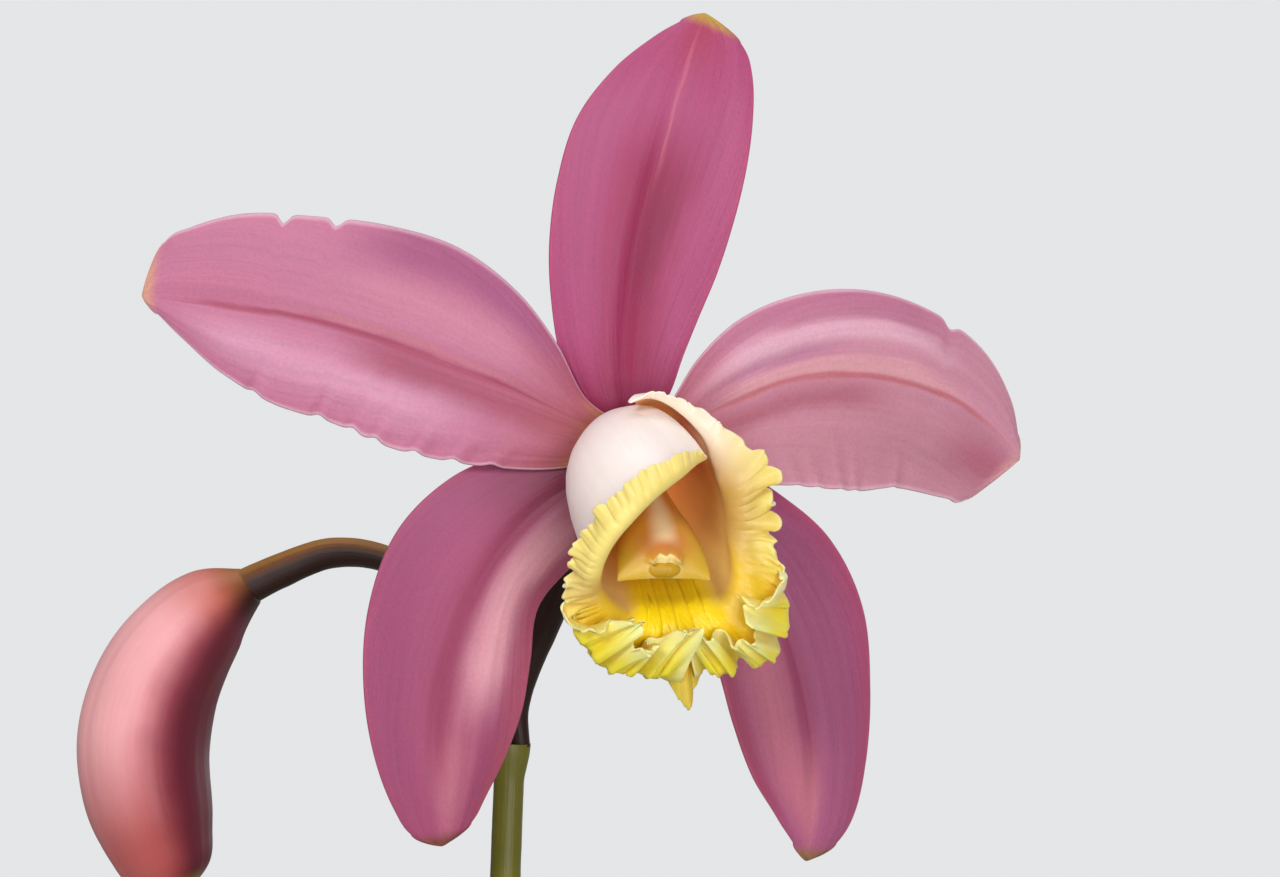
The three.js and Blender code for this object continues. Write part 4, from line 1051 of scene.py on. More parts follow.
def lip_surface(angle, s):
    """The middle surface of the lip: a tube up to MOUTH_AT, then its flared and crisped margin."""
    tube = np.clip(s / MOUTH_AT, 0, 1)
    closing = np.where(angle < 0, angle / LIP_LEFT * (LIP_LEFT_FOOT - LIP_LEFT), 0)
    closing = np.where(angle > 0, angle / LIP_RIGHT * (LIP_RIGHT_FOOT - LIP_RIGHT), closing)
    a = np.radians(angle + closing * (1 - tube**1.5))[..., None]
    ray = LIP_SIDE * np.sin(a) - LIP_TOP * np.cos(a)
    mouth = read_outline(LIP_MOUTH, angle)
    radius = read_outline(LIP_RADIUS, angle)
    foot, waist, clear = 3.0, 5.5, 1.25

    def behind(r):
        return (clear + ray[..., 1] * r) / -LIP_AXIS[1]

    belly = np.minimum(np.maximum(behind(radius) + 3, 2), mouth - 0.6)
    d = bezier(tube, [behind(foot), behind(waist), belly, mouth])
    r = bezier(tube, [foot, waist, radius + 2 * read_outline(LIP_BULGE, angle), radius])
    margin = np.clip((s - MOUTH_AT) / (1 - MOUTH_AT), 0, 1)
    flat = between(1, FLARE_SHARE, lip_front(angle))
    e = np.minimum(margin / flat, 1)
    fold = np.clip((margin - flat) / (1.0001 - flat), 0, 1)
    width = read_outline(LIP_FLARE, angle) * (1 + lip_scallops(angle) * (1 - 0.35 * lip_front(angle)) * e)
    bend = np.minimum(np.radians(read_outline(LIP_TURNED, angle)), width * TURN_SHARE / 0.5)
    arc = np.minimum(e, TURN_SHARE)
    straight = (e - arc) * width
    turn_now = bend * arc / TURN_SHARE
    arc_radius = width * TURN_SHARE / bend
    out = arc_radius * (1 - np.cos(turn_now)) + straight * np.sin(bend)
    onward = arc_radius * np.sin(turn_now) + straight * np.cos(bend)
    pull, rise, aside = np.add(lip_frills(angle, e), lip_cuff(angle, fold))
    rise = rise + lip_disc(angle, s)
    along = (d + onward + np.cos(turn_now) * pull + np.sin(turn_now) * rise)[..., None]
    outward = (r + out + np.sin(turn_now) * pull - np.cos(turn_now) * rise)[..., None]
    round_it = LIP_SIDE * np.cos(a) + LIP_TOP * np.sin(a)
    return BLOOM_CENTRE + LIP_AXIS * along + ray * outward + round_it * aside[..., None]


def lip_scallops(angle):
    """Rounded lobes in the margin's width, with a notch between one and the next."""
    a = np.radians(angle)
    broad = np.abs(np.sin(12 * a + 0.9 * np.sin(5 * a))) ** 0.6
    small = np.abs(np.sin(27 * a + 1.2 * np.sin(7 * a) + 1)) ** 0.6
    return 0.15 * (broad - 0.7) + 0.14 * (small - 0.7)


def lip_front(angle):
    """1 on the front lobe, whose margin folds up, and 0 at the sides of the tube."""
    return 1 - soft_step(np.abs(angle), 56, 80)


def lip_frills(angle, e):
    """How far the side margins' waves pull them in, raise them and move them along."""
    a = np.radians(angle)
    height = read_outline(LIP_RUFFLE, angle) * (1 - 0.6 * lip_front(angle)) * (1 - lip_tip(angle))
    count = between(13, 21, lip_front(angle))
    broad = a * count + 0.7 * e
    small = a * (count * 2 + 3) + 1.3 + 1.8 * np.sin(4 * a) - 0.9 * e
    pull, rise = 0, 0
    waves = ((0.25, height * (0.62 * np.sin(broad) + 0.12)), (0.55, height * 0.95 * np.sin(small)))
    for start, strength in waves:
        free = np.clip((e - start) / (1 - start), 0, 1)
        length = (1 - start) * read_outline(LIP_FLARE, angle)
        curl = strength + 1e-3
        pull = pull + length * (np.sin(curl * free) / curl - free)
        rise = rise + length * (1 - np.cos(curl * free)) / curl
    aside = -height * e**4 * (0.3 * np.sin(2 * broad) + 0.3 * np.sin(2 * small))
    tiny = 0.24 * height * e**4 * np.sin(a * 97 + 3 * np.sin(6 * a))
    return pull, rise + tiny, aside


def lip_tip(angle):
    """1 where the front lobe ends in a short tongue that hangs free."""
    return 1 - soft_step(np.abs(angle - LIP_TIP_AT), 7, 13)


def lip_cuff(angle, q):
    """The front lobe's margin: folded up towards the viewer and crisped, but for its tip."""
    a = np.radians(angle)
    share = lip_front(angle) * (1 - lip_tip(angle))
    broad = 7.5 * a + 0.8 * np.sin(5 * a) + 0.9
    small = 23 * a + 1.6 * np.sin(6 * a)
    lobes = np.abs(np.sin(broad)) ** 0.5
    teeth = np.abs(np.sin(1.5 * small)) ** 0.6
    crisp = np.sin(91 * a + 2.5 * np.sin(8 * a))
    crest = 0.52 + 0.42 * lobes + 0.16 * teeth + 0.03 * crisp
    tall = CUFF_HEIGHT * (0.03 + 0.97 * share**1.6) * crest
    fold = share**0.4 * (CUFF_FOLD + 0.22 * np.sin(2 * broad) + 0.12 * q * np.sin(small)) + 1e-3
    run = q * tall
    arc = np.minimum(run / CUFF_BEND, fold)
    straight = run - arc * CUFF_BEND
    pull = CUFF_BEND * np.sin(arc) + straight * np.cos(fold)
    rise = CUFF_BEND * (1 - np.cos(arc)) + straight * np.sin(fold)
    waves = 0.75 * np.sin(2 * broad + 1) + 0.34 * np.sin(2 * small + q) + 0.42 * q**2 * crisp
    rise = rise + share * q * waves
    aside = -share * q * (0.15 * np.sin(2 * broad) + 0.1 * np.sin(2 * small))
    beside = hump(np.abs(angle - LIP_TIP_AT), 15, 8) * q**1.3
    aside = aside + beside * np.where(angle < LIP_TIP_AT, 2.9, -1.5)
    rise = rise + beside * np.where(angle < LIP_TIP_AT, 0.5, -0.3)
    return pull, rise, aside


def lip_disc(angle, s):
    """The disc on the floor: a raised plateau with fine grooves and grains, from the tube out."""
    a = np.radians(angle)
    across = 1 - soft_step(np.abs(angle), 24, 38)
    along = soft_step(s, 0.2, 0.42) * (1 - soft_step(s, 0.6, 0.72))
    grooves = hump(np.sin(a * KEELS / 2), 0, 0.3) * (1 - soft_step(np.abs(angle), 14, 30))
    grooves = grooves * (1 - 0.7 * soft_step(s, 0.5, 0.62))
    grains = 0.07 * np.sin(s * 150 + 2 * np.sin(a * 31)) * np.sin(a * 60 + 2 * np.sin(s * 40))
    return across * along * (0.85 - 0.55 * grooves + grains)


def make_lip():
    angles = np.linspace(LIP_LEFT, LIP_RIGHT, LIP_COLUMNS)
    tube_rows = np.linspace(0, MOUTH_AT, TUBE_ROWS, endpoint=False)
    rows = np.concatenate([tube_rows, np.linspace(MOUTH_AT, 1, MARGIN_ROWS)])
    angle, s = np.meshgrid(angles, rows, indexing="ij")
    thick = between(0.6, 0.25, s)
    share = (angle - LIP_LEFT) / (LIP_RIGHT - LIP_LEFT)
    mesh = blade_mesh("lip", lip_surface(angle, s), thick, share, s, front=-1)
    put("lip_blade", mesh, lip_finish(), "lip", slot="lip")


# Column

COLUMN_AXIS = axis_turned(COLUMN_TURN)
COLUMN_SIDE = side_of(COLUMN_TURN)
COLUMN_TOP = unit(np.cross(COLUMN_AXIS, COLUMN_SIDE))
COLUMN_ROUNDING = 7  # length of the hood that closes the column's end
TEETH_AT = 0.45  # where on the hood the teeth stand: 0 at its lower edge, pi / 2 at its start
ANTHER_SIZE = (1.9, 0.95, 0.75)


def column_ring(d, tall=1.0):
    """The section of the column at a distance from its foot: keel, wings and belly."""
    wing = read_outline([(1, 1.9), (6, 2.1), (12, 3.0), (18, 4.5), (COLUMN_LENGTH, 5.0)], d)
    keel = read_outline([(1, 1.9), (12, 2.6), (19, 3.0), (COLUMN_LENGTH, 2.2)], d)
    belly = read_outline([(1, 1.7), (12, 1.8), (COLUMN_LENGTH, 1.5)], d)
    c, s = np.cos(turns(COLUMN_SIDES)), np.sin(turns(COLUMN_SIDES))
    x = wing * np.sign(c) * np.abs(c) ** 0.9
    y = np.where(s > 0, keel * np.abs(s) ** 1.5, -belly * np.abs(s) ** 0.8)
    along = np.full_like(c, d)
    floor = -belly
    corners = 0.35 * (x / wing) ** 2 * (1 - tall)
    return x, floor + (y - floor) * tall - corners, along


def make_column():
    """Keeled above and winged, with a hooded end whose three teeth hang over the anther."""
    straight = np.linspace(1, COLUMN_LENGTH - COLUMN_ROUNDING, COLUMN_ROWS, endpoint=False)
    rings = [column_ring(d) for d in straight]
    for turn in np.linspace(math.pi / 2, 0, HOOD_ROWS):
        ahead = COLUMN_ROUNDING * (math.cos(turn) - 1)
        x, y, along = column_ring(COLUMN_LENGTH + ahead, 0.02 + 0.98 * math.sin(turn))
        teeth = hump(np.abs(x), 1.35, 0.35) + 0.6 * hump(x, 0, 0.45)
        upper = np.arange(len(x)) < len(x) / 2
        brow = TEETH_AT + 0.1
        raised = 0.55 * soft_step(turn, TEETH_AT, brow) * (1 - soft_step(turn, brow, 1.1))
        reach = 1.5 * hump(turn, brow, 0.09) * teeth
        rings.append((x, y + raised * hump(x, 0, 1.9) * upper, along + reach * upper))
    rings = np.array(rings)
    x, y, d = (rings[:, k, :, None] for k in range(3))
    points = BLOOM_CENTRE + COLUMN_AXIS * d + COLUMN_SIDE * x + COLUMN_TOP * y
    put("column_body", loft_mesh("column", points), column_finish(), "column", slot="column")


def make_anther():
    """The anther cap: a small oval cushion under the teeth, with a crease down its middle."""
    tilts = np.linspace(0.08, np.pi - 0.08, ANTHER_ROWS)
    tilt, turn = np.meshgrid(tilts, turns(ANTHER_SIDES), indexing="ij")
    ball = np.stack([np.sin(tilt) * np.cos(turn), np.sin(tilt) * np.sin(turn), -np.cos(tilt)], -1)
    crease = 0.06 * hump(ball[..., 0], 0, 0.22) * (ball[..., 2] > -0.2)
    x, y, z = np.moveaxis(ball * ANTHER_SIZE * (1 - crease)[..., None], -1, 0)[..., None]
    middle = BLOOM_CENTRE + COLUMN_AXIS * (COLUMN_LENGTH - 0.5) - COLUMN_TOP * 0.75
    points = middle + COLUMN_SIDE * x + COLUMN_TOP * y + COLUMN_AXIS * z
    put("anther_helmet", loft_mesh("anther", points), anther_finish(), "anther_cap", slot="anther")


# Bud

BUD_SEAMS = 3
# The flank that gets painted shade, over the bud's own plum.
BUD_PAINTED_SHADE_SIDE = np.array([1.0, -0.25, -0.25])
BUD_SEAM_SIDE = np.array([-0.8, -0.6, 0.0])
BUD_LINE = from_bloom([
    (-44.7, BUD_DEPTH, -15.9), (-49.2, BUD_DEPTH, -18.8), (-52.9, BUD_DEPTH, -22.9),
    (-55.6, BUD_DEPTH, -27.7), (-57.0, BUD_DEPTH - 0.5, -33.5), (-56.8, BUD_DEPTH - 1, -38.5),
    (-55.4, BUD_DEPTH - 1.5, -44.2), (-53.0, BUD_DEPTH - 2, -51.5),
])


def make_bud():
    """Three sepals closed edge to edge: a bent pod with a fine groove at each seam."""
    outline = [
        (0, 0.3), (0.12, 0.66), (0.25, 0.84), (0.39, 0.95), (0.53, 1),
        (0.66, 0.98), (0.76, 0.93), (0.86, 0.8), (0.94, 0.64), (0.985, 0.36), (1, 0.1),
    ]
    line = stem_line(BUD_LINE, BUD_ROWS)
    # dark is the turn round the bud where the painted shade falls.
    dark, seam = (turn_towards(line, side) for side in (BUD_PAINTED_SHADE_SIDE, BUD_SEAM_SIDE))

    def radius(t, angle):
        body = BUD_RADIUS * read_outline(outline, t)
        lobes = np.cos(BUD_SEAMS * (angle - 2 * np.pi * seam))
        groove = 0.05 * hump(lobes, 1, 0.04) * soft_step(t, 0.15, 0.5) * soft_step(1 - t, 0, 0.1)
        return body * (1 - 0.035 * lobes) - groove

    mesh = loft_mesh("bud", rings_about(line, BUD_SIDES, radius))
    put("bud_pod", mesh, bud_finish(dark, seam), "bud", slot="bud")


def turn_towards(line, direction):
    """Where round the middle of a line, from 0 to 1, its ring faces a direction."""
    side, up = (across[len(line) // 2] for across in frames_along(line))
    return math.atan2(up.dot(direction), side.dot(direction)) / (2 * math.pi) % 1


# Stems: one tree of nodes draws each stem along its line


class Form(Nodes):
    """A tree of geometry nodes with named inputs."""

    KINDS = {
        int: "NodeSocketInt",
        float: "NodeSocketFloat",
        bpy.types.Material: "NodeSocketMaterial",
    }

    def __init__(self, name, **inputs):
        super().__init__(bpy.data.node_groups.new(name, "GeometryNodeTree"))
        face = self.tree.interface
        face.new_socket("Geometry", in_out="INPUT", socket_type="NodeSocketGeometry")
        for key, kind in inputs.items():
            face.new_socket(key, in_out="INPUT", socket_type=self.KINDS[kind])
        face.new_socket("Geometry", in_out="OUTPUT", socket_type="NodeSocketGeometry")
        self.entry = self.tree.nodes.new("NodeGroupInput")

    def given(self, name):
        return Socket(self, self.entry.outputs[name])

    def named(self, name):
        return self.add("GeometryNodeInputNamedAttribute", {"data_type": "FLOAT"}, [name])

    def push_out(self, geometry, distance):
        """Moves each point along its normal."""
        normal = self.add("GeometryNodeInputNormal")
        offset = self.add("ShaderNodeVectorMath", {"operation": "SCALE"}, {0: normal, 3: distance})
        return self.add("GeometryNodeSetPosition", None, {"Geometry": geometry, "Offset": offset})

    def end(self, geometry):
        geometry = self.add("GeometryNodeRealizeInstances", None, [geometry])
        values = {"Geometry": geometry, "Material": self.given("Finish")}
        geometry = self.add("GeometryNodeSetMaterial", None, values)
        self.tree.links.new(geometry.link, self.tree.nodes.new("NodeGroupOutput").inputs[0])

    def grow(self, name, base, **values):
        """Runs the tree on a base mesh and gives the result as a plain mesh."""
        holder = link(name, base)
        modifier = holder.modifiers.new(name, "NODES")
        modifier.node_group = self.tree
        for item in self.tree.interface.items_tree:
            if item.in_out == "INPUT" and item.name in values:
                modifier[item.identifier] = values[item.name]
        return shaped(holder)


def stem_form():
    """A stem along a line: rings at even distances, ribs along it and a rough skin."""
    form = Form(
        "stem", Sides=int, Ring_spacing=float, Ring_height=float, Ring_width=float,
        Ribs=int, Rib_depth=float, Grain=float, Grain_scale=float, Finish=bpy.types.Material,
    )
    line = form.add("GeometryNodeMeshToCurve", None, [form.given("Geometry")])
    values = {"Resolution": form.given("Sides"), "Radius": 1.0}
    circle = form.add("GeometryNodeCurvePrimitiveCircle", None, values)
    turn = form.add("GeometryNodeSplineParameter")
    circle = form.add("GeometryNodeStoreNamedAttribute", None, [circle, True, "turn", turn])
    values = {"Curve": line, "Profile Curve": circle, "Scale": form.named("radius"), "Fill Caps": True}
    skin = form.add("GeometryNodeCurveToMesh", None, values)
    rings = form.named("length") / form.given("Ring_spacing")
    from_ring = abs(rings - rings.math("ROUND")) * form.given("Ring_spacing")
    ring = form.fall(from_ring, 0.0, form.given("Ring_width")) * form.given("Ring_height")
    ribs = (form.named("turn") * form.given("Ribs") * (2 * math.pi)).math("COSINE") * form.given("Rib_depth")
    place = form.add("GeometryNodeInputPosition")
    grain = (form.noise(place, form.given("Grain_scale"), 3) - 0.5) * form.given("Grain")
    skin = form.push_out(skin, ring + ribs * form.named("radius") + grain)
    form.end(form.add("GeometryNodeSetShadeSmooth", None, [skin]))
    return form


def line_mesh(name, line, radius):
    """A chain of points with the radius and the distance along it at each."""
    mesh = bpy.data.meshes.new(name)
    count = len(line)
    mesh.from_pydata((line * MM).tolist(), [(i, i + 1) for i in range(count - 1)], [])
    run = np.concatenate([[0], np.cumsum(np.linalg.norm(np.diff(line, axis=0), axis=1))])
    for key, values in (("radius", radius * MM), ("length", run * MM), ("share", run / run[-1])):
        mesh.attributes.new(key, "FLOAT", "POINT").data.foreach_set("value", np.asarray(values, float))
    return mesh


def make_stem(name, line, radius, finish, slot, sides, **shape):
    """One stem, for the node of its name. radius(t) is in millimetres, at a share of its length."""
    share = np.linspace(0, 1, len(line))
    base = line_mesh(name, line, radius(share))
    settings = {
        "Sides": sides, "Ring_spacing": 1.0, "Ring_height": 0.0, "Ring_width": 0.001,
        "Ribs": 3, "Rib_depth": 0.0, "Grain": 0.0, "Grain_scale": 400.0, "Finish": finish,
    }
    mesh = STEM_FORM.grow(name, base, **{**settings, **shape})
    put(name + "_stem", mesh, finish, name, slot=slot)


def rounded(t, reach=0.02):
    """Closes a stem softly at its end."""
    left = np.clip((1 - t) / reach, 0, 1)
    return np.sqrt(1 - (1 - left) ** 2)


STEM_FORM = stem_form()

# Canes, the oldest first: foot, apex, widest radius, how deep the skin is furrowed, and husks
CANES = [
    {"foot": (35, 14), "apex": (54, 27, 222), "radius": 5.2, "furrow": 0.09, "husks": 4},
    {"foot": (19, 9), "apex": (33, 19, 252), "radius": 5.6, "furrow": 0.06, "husks": 3},
    {"foot": (3, 3), "apex": (9, 9, 282), "radius": 5.8, "furrow": 0.04, "husks": 3},
    {"foot": (-14, -2), "apex": (-14, 4, 310), "radius": 6.0, "furrow": 0.02, "husks": 2},
]
SHOOT_FOOT = np.array([-30, -6, RHIZOME_LEVEL], float)
SHOOT_APEX = np.array([-37, -10, 158], float)
# Each from and to which share of the shoot, how far it stands off, and where it is slit
SHOOT_SHEATHS = [(0.0, 0.42, 0.9, 0.2), (0.1, 0.72, 0.5, 2.3), (0.25, 1.0, 0.1, 4.4)]


def cane_line(cane, count):
    base = np.array([*cane["foot"], RHIZOME_LEVEL], float)
    apex = np.array(cane["apex"], float)
    bow = between(base, apex, 0.35)
    bow[:2] -= (apex - base)[:2] * 0.18
    return stem_line([base, bow, between(base, apex, 0.75), apex], count)


def cane_swell(cane, t):
    """Thin at the foot and thickest at two thirds of its height."""
    end = APEX_RADIUS / cane["radius"]
    outline = [(0, 0.62), (0.12, 0.7), (0.4, 0.86), (0.68, 1), (0.9, 0.86), (1, end)]
    return cane["radius"] * read_outline(outline, t) - 0.15


def cane_joints(cane):
    return round((cane["apex"][2] - RHIZOME_LEVEL) / INTERNODE)


def make_canes():
    for i, cane in enumerate(CANES):
        line = cane_line(cane, CANE_ROWS)
        length = np.linalg.norm(np.diff(line, axis=0), axis=1).sum()
        finish = cane_finish(f"cane_{i + 1}_skin", 0.15 + 0.28 * i)
        make_stem(
            f"cane_{i + 1}", line, lambda t, c=cane: cane_swell(c, t), finish, "cane", CANE_SIDES,
            Ring_spacing=length / cane_joints(cane) * MM, Ring_height=0.5 * MM, Ring_width=1.1 * MM,
            Ribs=9, Rib_depth=0.5 * cane["furrow"], Grain=0.5 * MM, Grain_scale=160.0,
        )


def make_husks():
    """Papery cups over the lower joints, each torn at its top."""
    paper = husk_finish()
    for i, cane in enumerate(CANES):
        joints = cane_joints(cane)
        line = cane_line(cane, 30 * joints + 1)
        cups = [husk_cup(cane, line, k, joints, seed=i * 7 + k) for k in range(cane["husks"])]
        put(f"husk_{i + 1}_paper", joined(f"husk_{i + 1}", cups), paper, f"husk_{i + 1}", slot="husk")


def husk_cup(cane, line, k, joints, seed):
    """One cup: from its ring on the cane up to a torn edge, as a thin closed shell."""
    side, up = frames_along(line)
    angle = turns(HUSK_SIDES)
    draw = np.random.default_rng(seed)
    ragged = sum(draw.uniform(0.2, 1) * np.cos(n * angle + draw.uniform(0, 6)) for n in (2, 5, 9, 17))
    slit = 0.35 * hump(apart(angle, draw.uniform(0, 6)), 0, 0.16)
    top = 0.9 + 0.02 * ragged - slit
    low = 0.08 if k == 0 else 0.0
    outer, inner = [], []
    for row in np.linspace(0, 1, HUSK_ROWS):
        t = np.clip((k + low + row * (top - low)) / joints, 0, 1)
        at = t * (len(line) - 1)
        middle, aside, above = (
            np.stack([np.interp(at, np.arange(len(line)), column) for column in grid.T], 1)
            for grid in (line, side, up)
        )
        across = np.cos(angle)[:, None] * aside + np.sin(angle)[:, None] * above
        crimp = 0.16 * np.sin(13 * angle + 5 * row) * row + 0.1 * np.sin(29 * angle)
        clear = cane_swell(cane, t) + 0.75 + 0.95 * row**2 + crimp
        outer.append(middle + across * (clear + 0.22)[:, None])
        inner.append(middle + across * clear[:, None])
    return loft_mesh("cup", np.array(outer + inner[::-1]), endless=True)


def joined(name, meshes):
    """Several meshes as one."""
    holders = [link(name, mesh) for mesh in meshes]
    with bpy.context.temp_override(
        active_object=holders[0], object=holders[0],
        selected_objects=holders, selected_editable_objects=holders,
    ):
        bpy.ops.object.join()
    mesh = holders[0].data
    bpy.data.objects.remove(holders[0])
    return mesh


def make_shoot():
    """New growth: three folded leaf bases round each other, the inner ones longer."""
    line = stem_line([SHOOT_FOOT, SHOOT_FOOT + [-1, -1, 20], SHOOT_APEX], SHOOT_ROWS)
    meshes = [shoot_sheath(line, *sheath) for sheath in SHOOT_SHEATHS]
    put("shoot_sheaths", joined("shoot", meshes), shoot_finish(), "new_shoot", slot="shoot")


def shoot_sheath(line, low, high, clear, slit_at):
    outline = [(0, 3.0), (0.2, 4.2), (0.5, 4.0), (0.8, 2.5), (1, 0.5)]
    first, last = int(low * (len(line) - 1)), int(high * (len(line) - 1))
    stretch = line[first : last + 1]

    def radius(t, angle):
        whole = between(low, high, t)
        flat = 1 - 0.3 * soft_step(whole, 0.2, 0.8) * np.sin(angle) ** 2
        gap = np.abs(apart(angle, slit_at))
        fold = 0.35 * soft_step(0.5 - gap, 0, 0.3) * soft_step(t, 0.3, 0.9)
        closing = rounded(t, 0.3) if high >= 1 else rounded(t, 0.12)
        keel = 0.25 * hump(apart(angle, slit_at + np.pi), 0, 0.2)
        return (read_outline(outline, whole) * flat + clear * (1 - t) + keel - fold) * closing + 0.02

    return loft_mesh("sheath", rings_about(stretch, SHOOT_SIDES, radius))


# Rhizome and roots

RHIZOME_TIP = (-37, -8)


def make_rhizome():
    line = [(45, 18, RHIZOME_LEVEL - 3)]
    line += [(*cane["foot"], RHIZOME_LEVEL - 2) for cane in CANES]
    line += [(*SHOOT_FOOT[:2], RHIZOME_LEVEL - 2), (*RHIZOME_TIP, RHIZOME_LEVEL + 0.5)]

    def radius(t):
        ends = np.minimum(1, 0.45 + 6 * np.minimum(t, 1 - t))
        return RHIZOME_RADIUS * ends * (1 + 0.05 * np.cos(t * 60)) - 0.3

    make_stem(
        "rhizome", stem_line(line, RHIZOME_ROWS), radius, rhizome_finish(), "rhizome", RHIZOME_SIDES,
        Ring_spacing=4.5 * MM, Ring_height=0.35 * MM, Ring_width=0.9 * MM, Grain=0.5 * MM,
    )


ROOTS = [
    [(-30, -6, 95), (-33, -17, 97), (-30, -30, 95), (-20, -38, 88)],
    [(3, 3, 94), (5, -12, 97.5), (14, -24, 97), (18, -36, 88)],
    [(28, 11, 93), (38, 2, 97.5), (45, -6, 96), (46, -14, 88)],
    [(-14, -2, 94), (-16, 14, 98), (-9, 28, 97), (-11, 40, 88)],
    [
        (-33, -7, 95), (-45, -14, 99), (-54, -18.5, 106), (-60.5, -21, 109.2),
        (-66.5, -23.5, 104), (-67.5, -26, 92), (-65.5, -28, 78), (-60.5, -32, 64), (-57, -37, 55),
    ],
]


def make_roots():
    silver = root_finish()

    def radius(t):
        return ROOT_RADIUS * (1 - 0.25 * soft_step(t, 0.8, 1)) * rounded(t) + 0.01

    for i, route in enumerate(ROOTS):
        line = stem_line(route, ROOT_ROWS * (len(route) - 1))
        make_stem(
            f"root_{i + 1}", line, radius, silver, "root", ROOT_SIDES, Grain=0.3 * MM, Grain_scale=260.0
        )


# Leaves. Azimuth 0 points along +X and 90 away from the viewer. rise is the rib's angle past
# its foot, and droop how far it bends down from there to its tip.
LEAVES = {
    "leaf_1": {"cane": 0, "azimuth": 12, "length": 94, "width": 32, "rise": 36, "droop": 30},
    "leaf_2_rear": {"cane": 1, "azimuth": 138, "length": 112, "width": 37, "rise": 42, "droop": 36},
    "leaf_2_front": {"cane": 1, "azimuth": -42, "length": 106, "width": 36, "rise": 40, "droop": 36},
    "leaf_3_rear": {"cane": 2, "azimuth": 92, "length": 118, "width": 39, "rise": 40, "droop": 38},
    "leaf_3_front": {"cane": 2, "azimuth": -88, "length": 112, "width": 38, "rise": 36, "droop": 42},
    "leaf_4_rear": {"cane": 3, "azimuth": 42, "length": 120, "width": 41, "rise": 36, "droop": 44},
    "leaf_4_front": {"cane": 3, "azimuth": -138, "length": 118, "width": 40, "rise": 35, "droop": 42},
}
# The skin's light and dark greens, on the oldest cane and on the youngest
LEAF_LIGHT = [(138, 148, 72), (104, 142, 62)]
LEAF_DARK = [(98, 116, 50), (62, 100, 42)]


def leaf_surface(leaf, u, v):
    """The middle surface of a leaf, whose rib rises at its foot and bends over to its tip."""
    azimuth = math.radians(leaf["azimuth"])
    out = np.array([math.cos(azimuth), math.sin(azimuth), 0])
    side = np.array([-out[1], out[0], 0])
    clasp = APEX_RADIUS + LEAF_THICK / 2 + CLASP_CLEAR
    steps = 24

    def bend(w):
        return np.radians(between(88, leaf["rise"], soft_step(w, 0.02, 0.2)) - leaf["droop"] * w * w)

    away, high = np.full_like(u, float(clasp)), np.full_like(u, -7.0)
    for k in range(steps):
        angle = bend((k + 0.5) / steps * u)
        away += np.cos(angle) * leaf["length"] * u / steps
        high += np.sin(angle) * leaf["length"] * u / steps
    tilt = bend(u)[..., None]
    up = UP * np.cos(tilt) - out * np.sin(tilt)
    foot_width = clasp * math.radians(LEAF_CLASP)
    blunt = np.clip((u - 0.45) / 0.55, 0, 1)
    body = leaf["width"] / 2 * np.sqrt(np.maximum(0, 1 - blunt**2.6))
    half = np.maximum(1.2, between(foot_width, body, soft_step(u, 0.04, 0.42)))
    curl = np.radians(between(LEAF_CLASP, 16, soft_step(u, 0.03, 0.4)))
    x = half / curl * np.sin(curl * v)
    lift = half / curl * (1 - np.cos(curl * v))
    open_part = soft_step(u, 0.15, 0.35)
    lift -= 0.9 * hump(x, 0, 1.1) * (1 - u**5) * open_part
    lift += 0.5 * np.sin(9 * u + leaf["azimuth"]) * soft_step(np.abs(v), 0.4, 1) * open_part
    lift += 0.2 * np.cos(v * 17) * open_part * (1 - u**4)
    apex = np.array(CANES[leaf["cane"]]["apex"], float)
    return apex + out * away[..., None] + UP * high[..., None] + side * x[..., None] + up * lift[..., None]


def make_leaves():
    for name, leaf in LEAVES.items():
        rows = np.linspace(0, 1, LEAF_ROWS) ** 0.95
        rows[1:] = 1 - (1 - rows[1:]) ** 1.2
        u, v = np.meshgrid(rows, np.linspace(-1, 1, LEAF_COLUMNS), indexing="ij")
        thick = between(1.5, 0.7, np.maximum(v * v, u**4))
        mesh = blade_mesh(name, leaf_surface(leaf, u, v), thick, u, (v + 1) / 2)
        age = leaf["cane"] / 3
        light, dark = (rgb(*between(*np.array(pair), age)) for pair in (LEAF_LIGHT, LEAF_DARK))
        put(name + "_blade", mesh, leaf_finish(name + "_skin", light, dark), name, slot="leaf")


# Flower stalk, spathe and the stems of bloom and bud
STALK_TOP = from_bloom((-14.0, 20, -33.7))
STALK_FOOT = np.array(CANES[3]["apex"], float) + [0, 0, GAP]
STALK_LINE = [
    STALK_FOOT,
    between(STALK_FOOT, STALK_TOP, 0.4) + [-1.4, 0.4, 0],
    between(STALK_FOOT, STALK_TOP, 0.8) + [-0.6, 0.2, 0],
    STALK_TOP,
]
BLOOM_STEM_LINE = [
    STALK_TOP + [1.2, -0.5, -0.5],
    *from_bloom([
        (-13.2, 19.5, -30), (-12.2, 18, -25.6), (-10.3, 16.5, -20.8), (-7.9, 13.6, -15.2),
        (-4.6, 9.5, -8.2), (-1.2, 5.2, -1.8), (0, 2.5, 0),
    ]),
]
BUD_STEM_LINE = [
    STALK_TOP + [-1.1, 0.6, -0.3],
    *from_bloom([
        (-17.4, 22.6, -26), (-22.2, 25, -16.6), (-28.9, 27, -12.7), (-35.2, BUD_DEPTH, -12.1),
        (-41.2, BUD_DEPTH, -14.2), (-45.2, BUD_DEPTH, -16.1),
    ]),
]


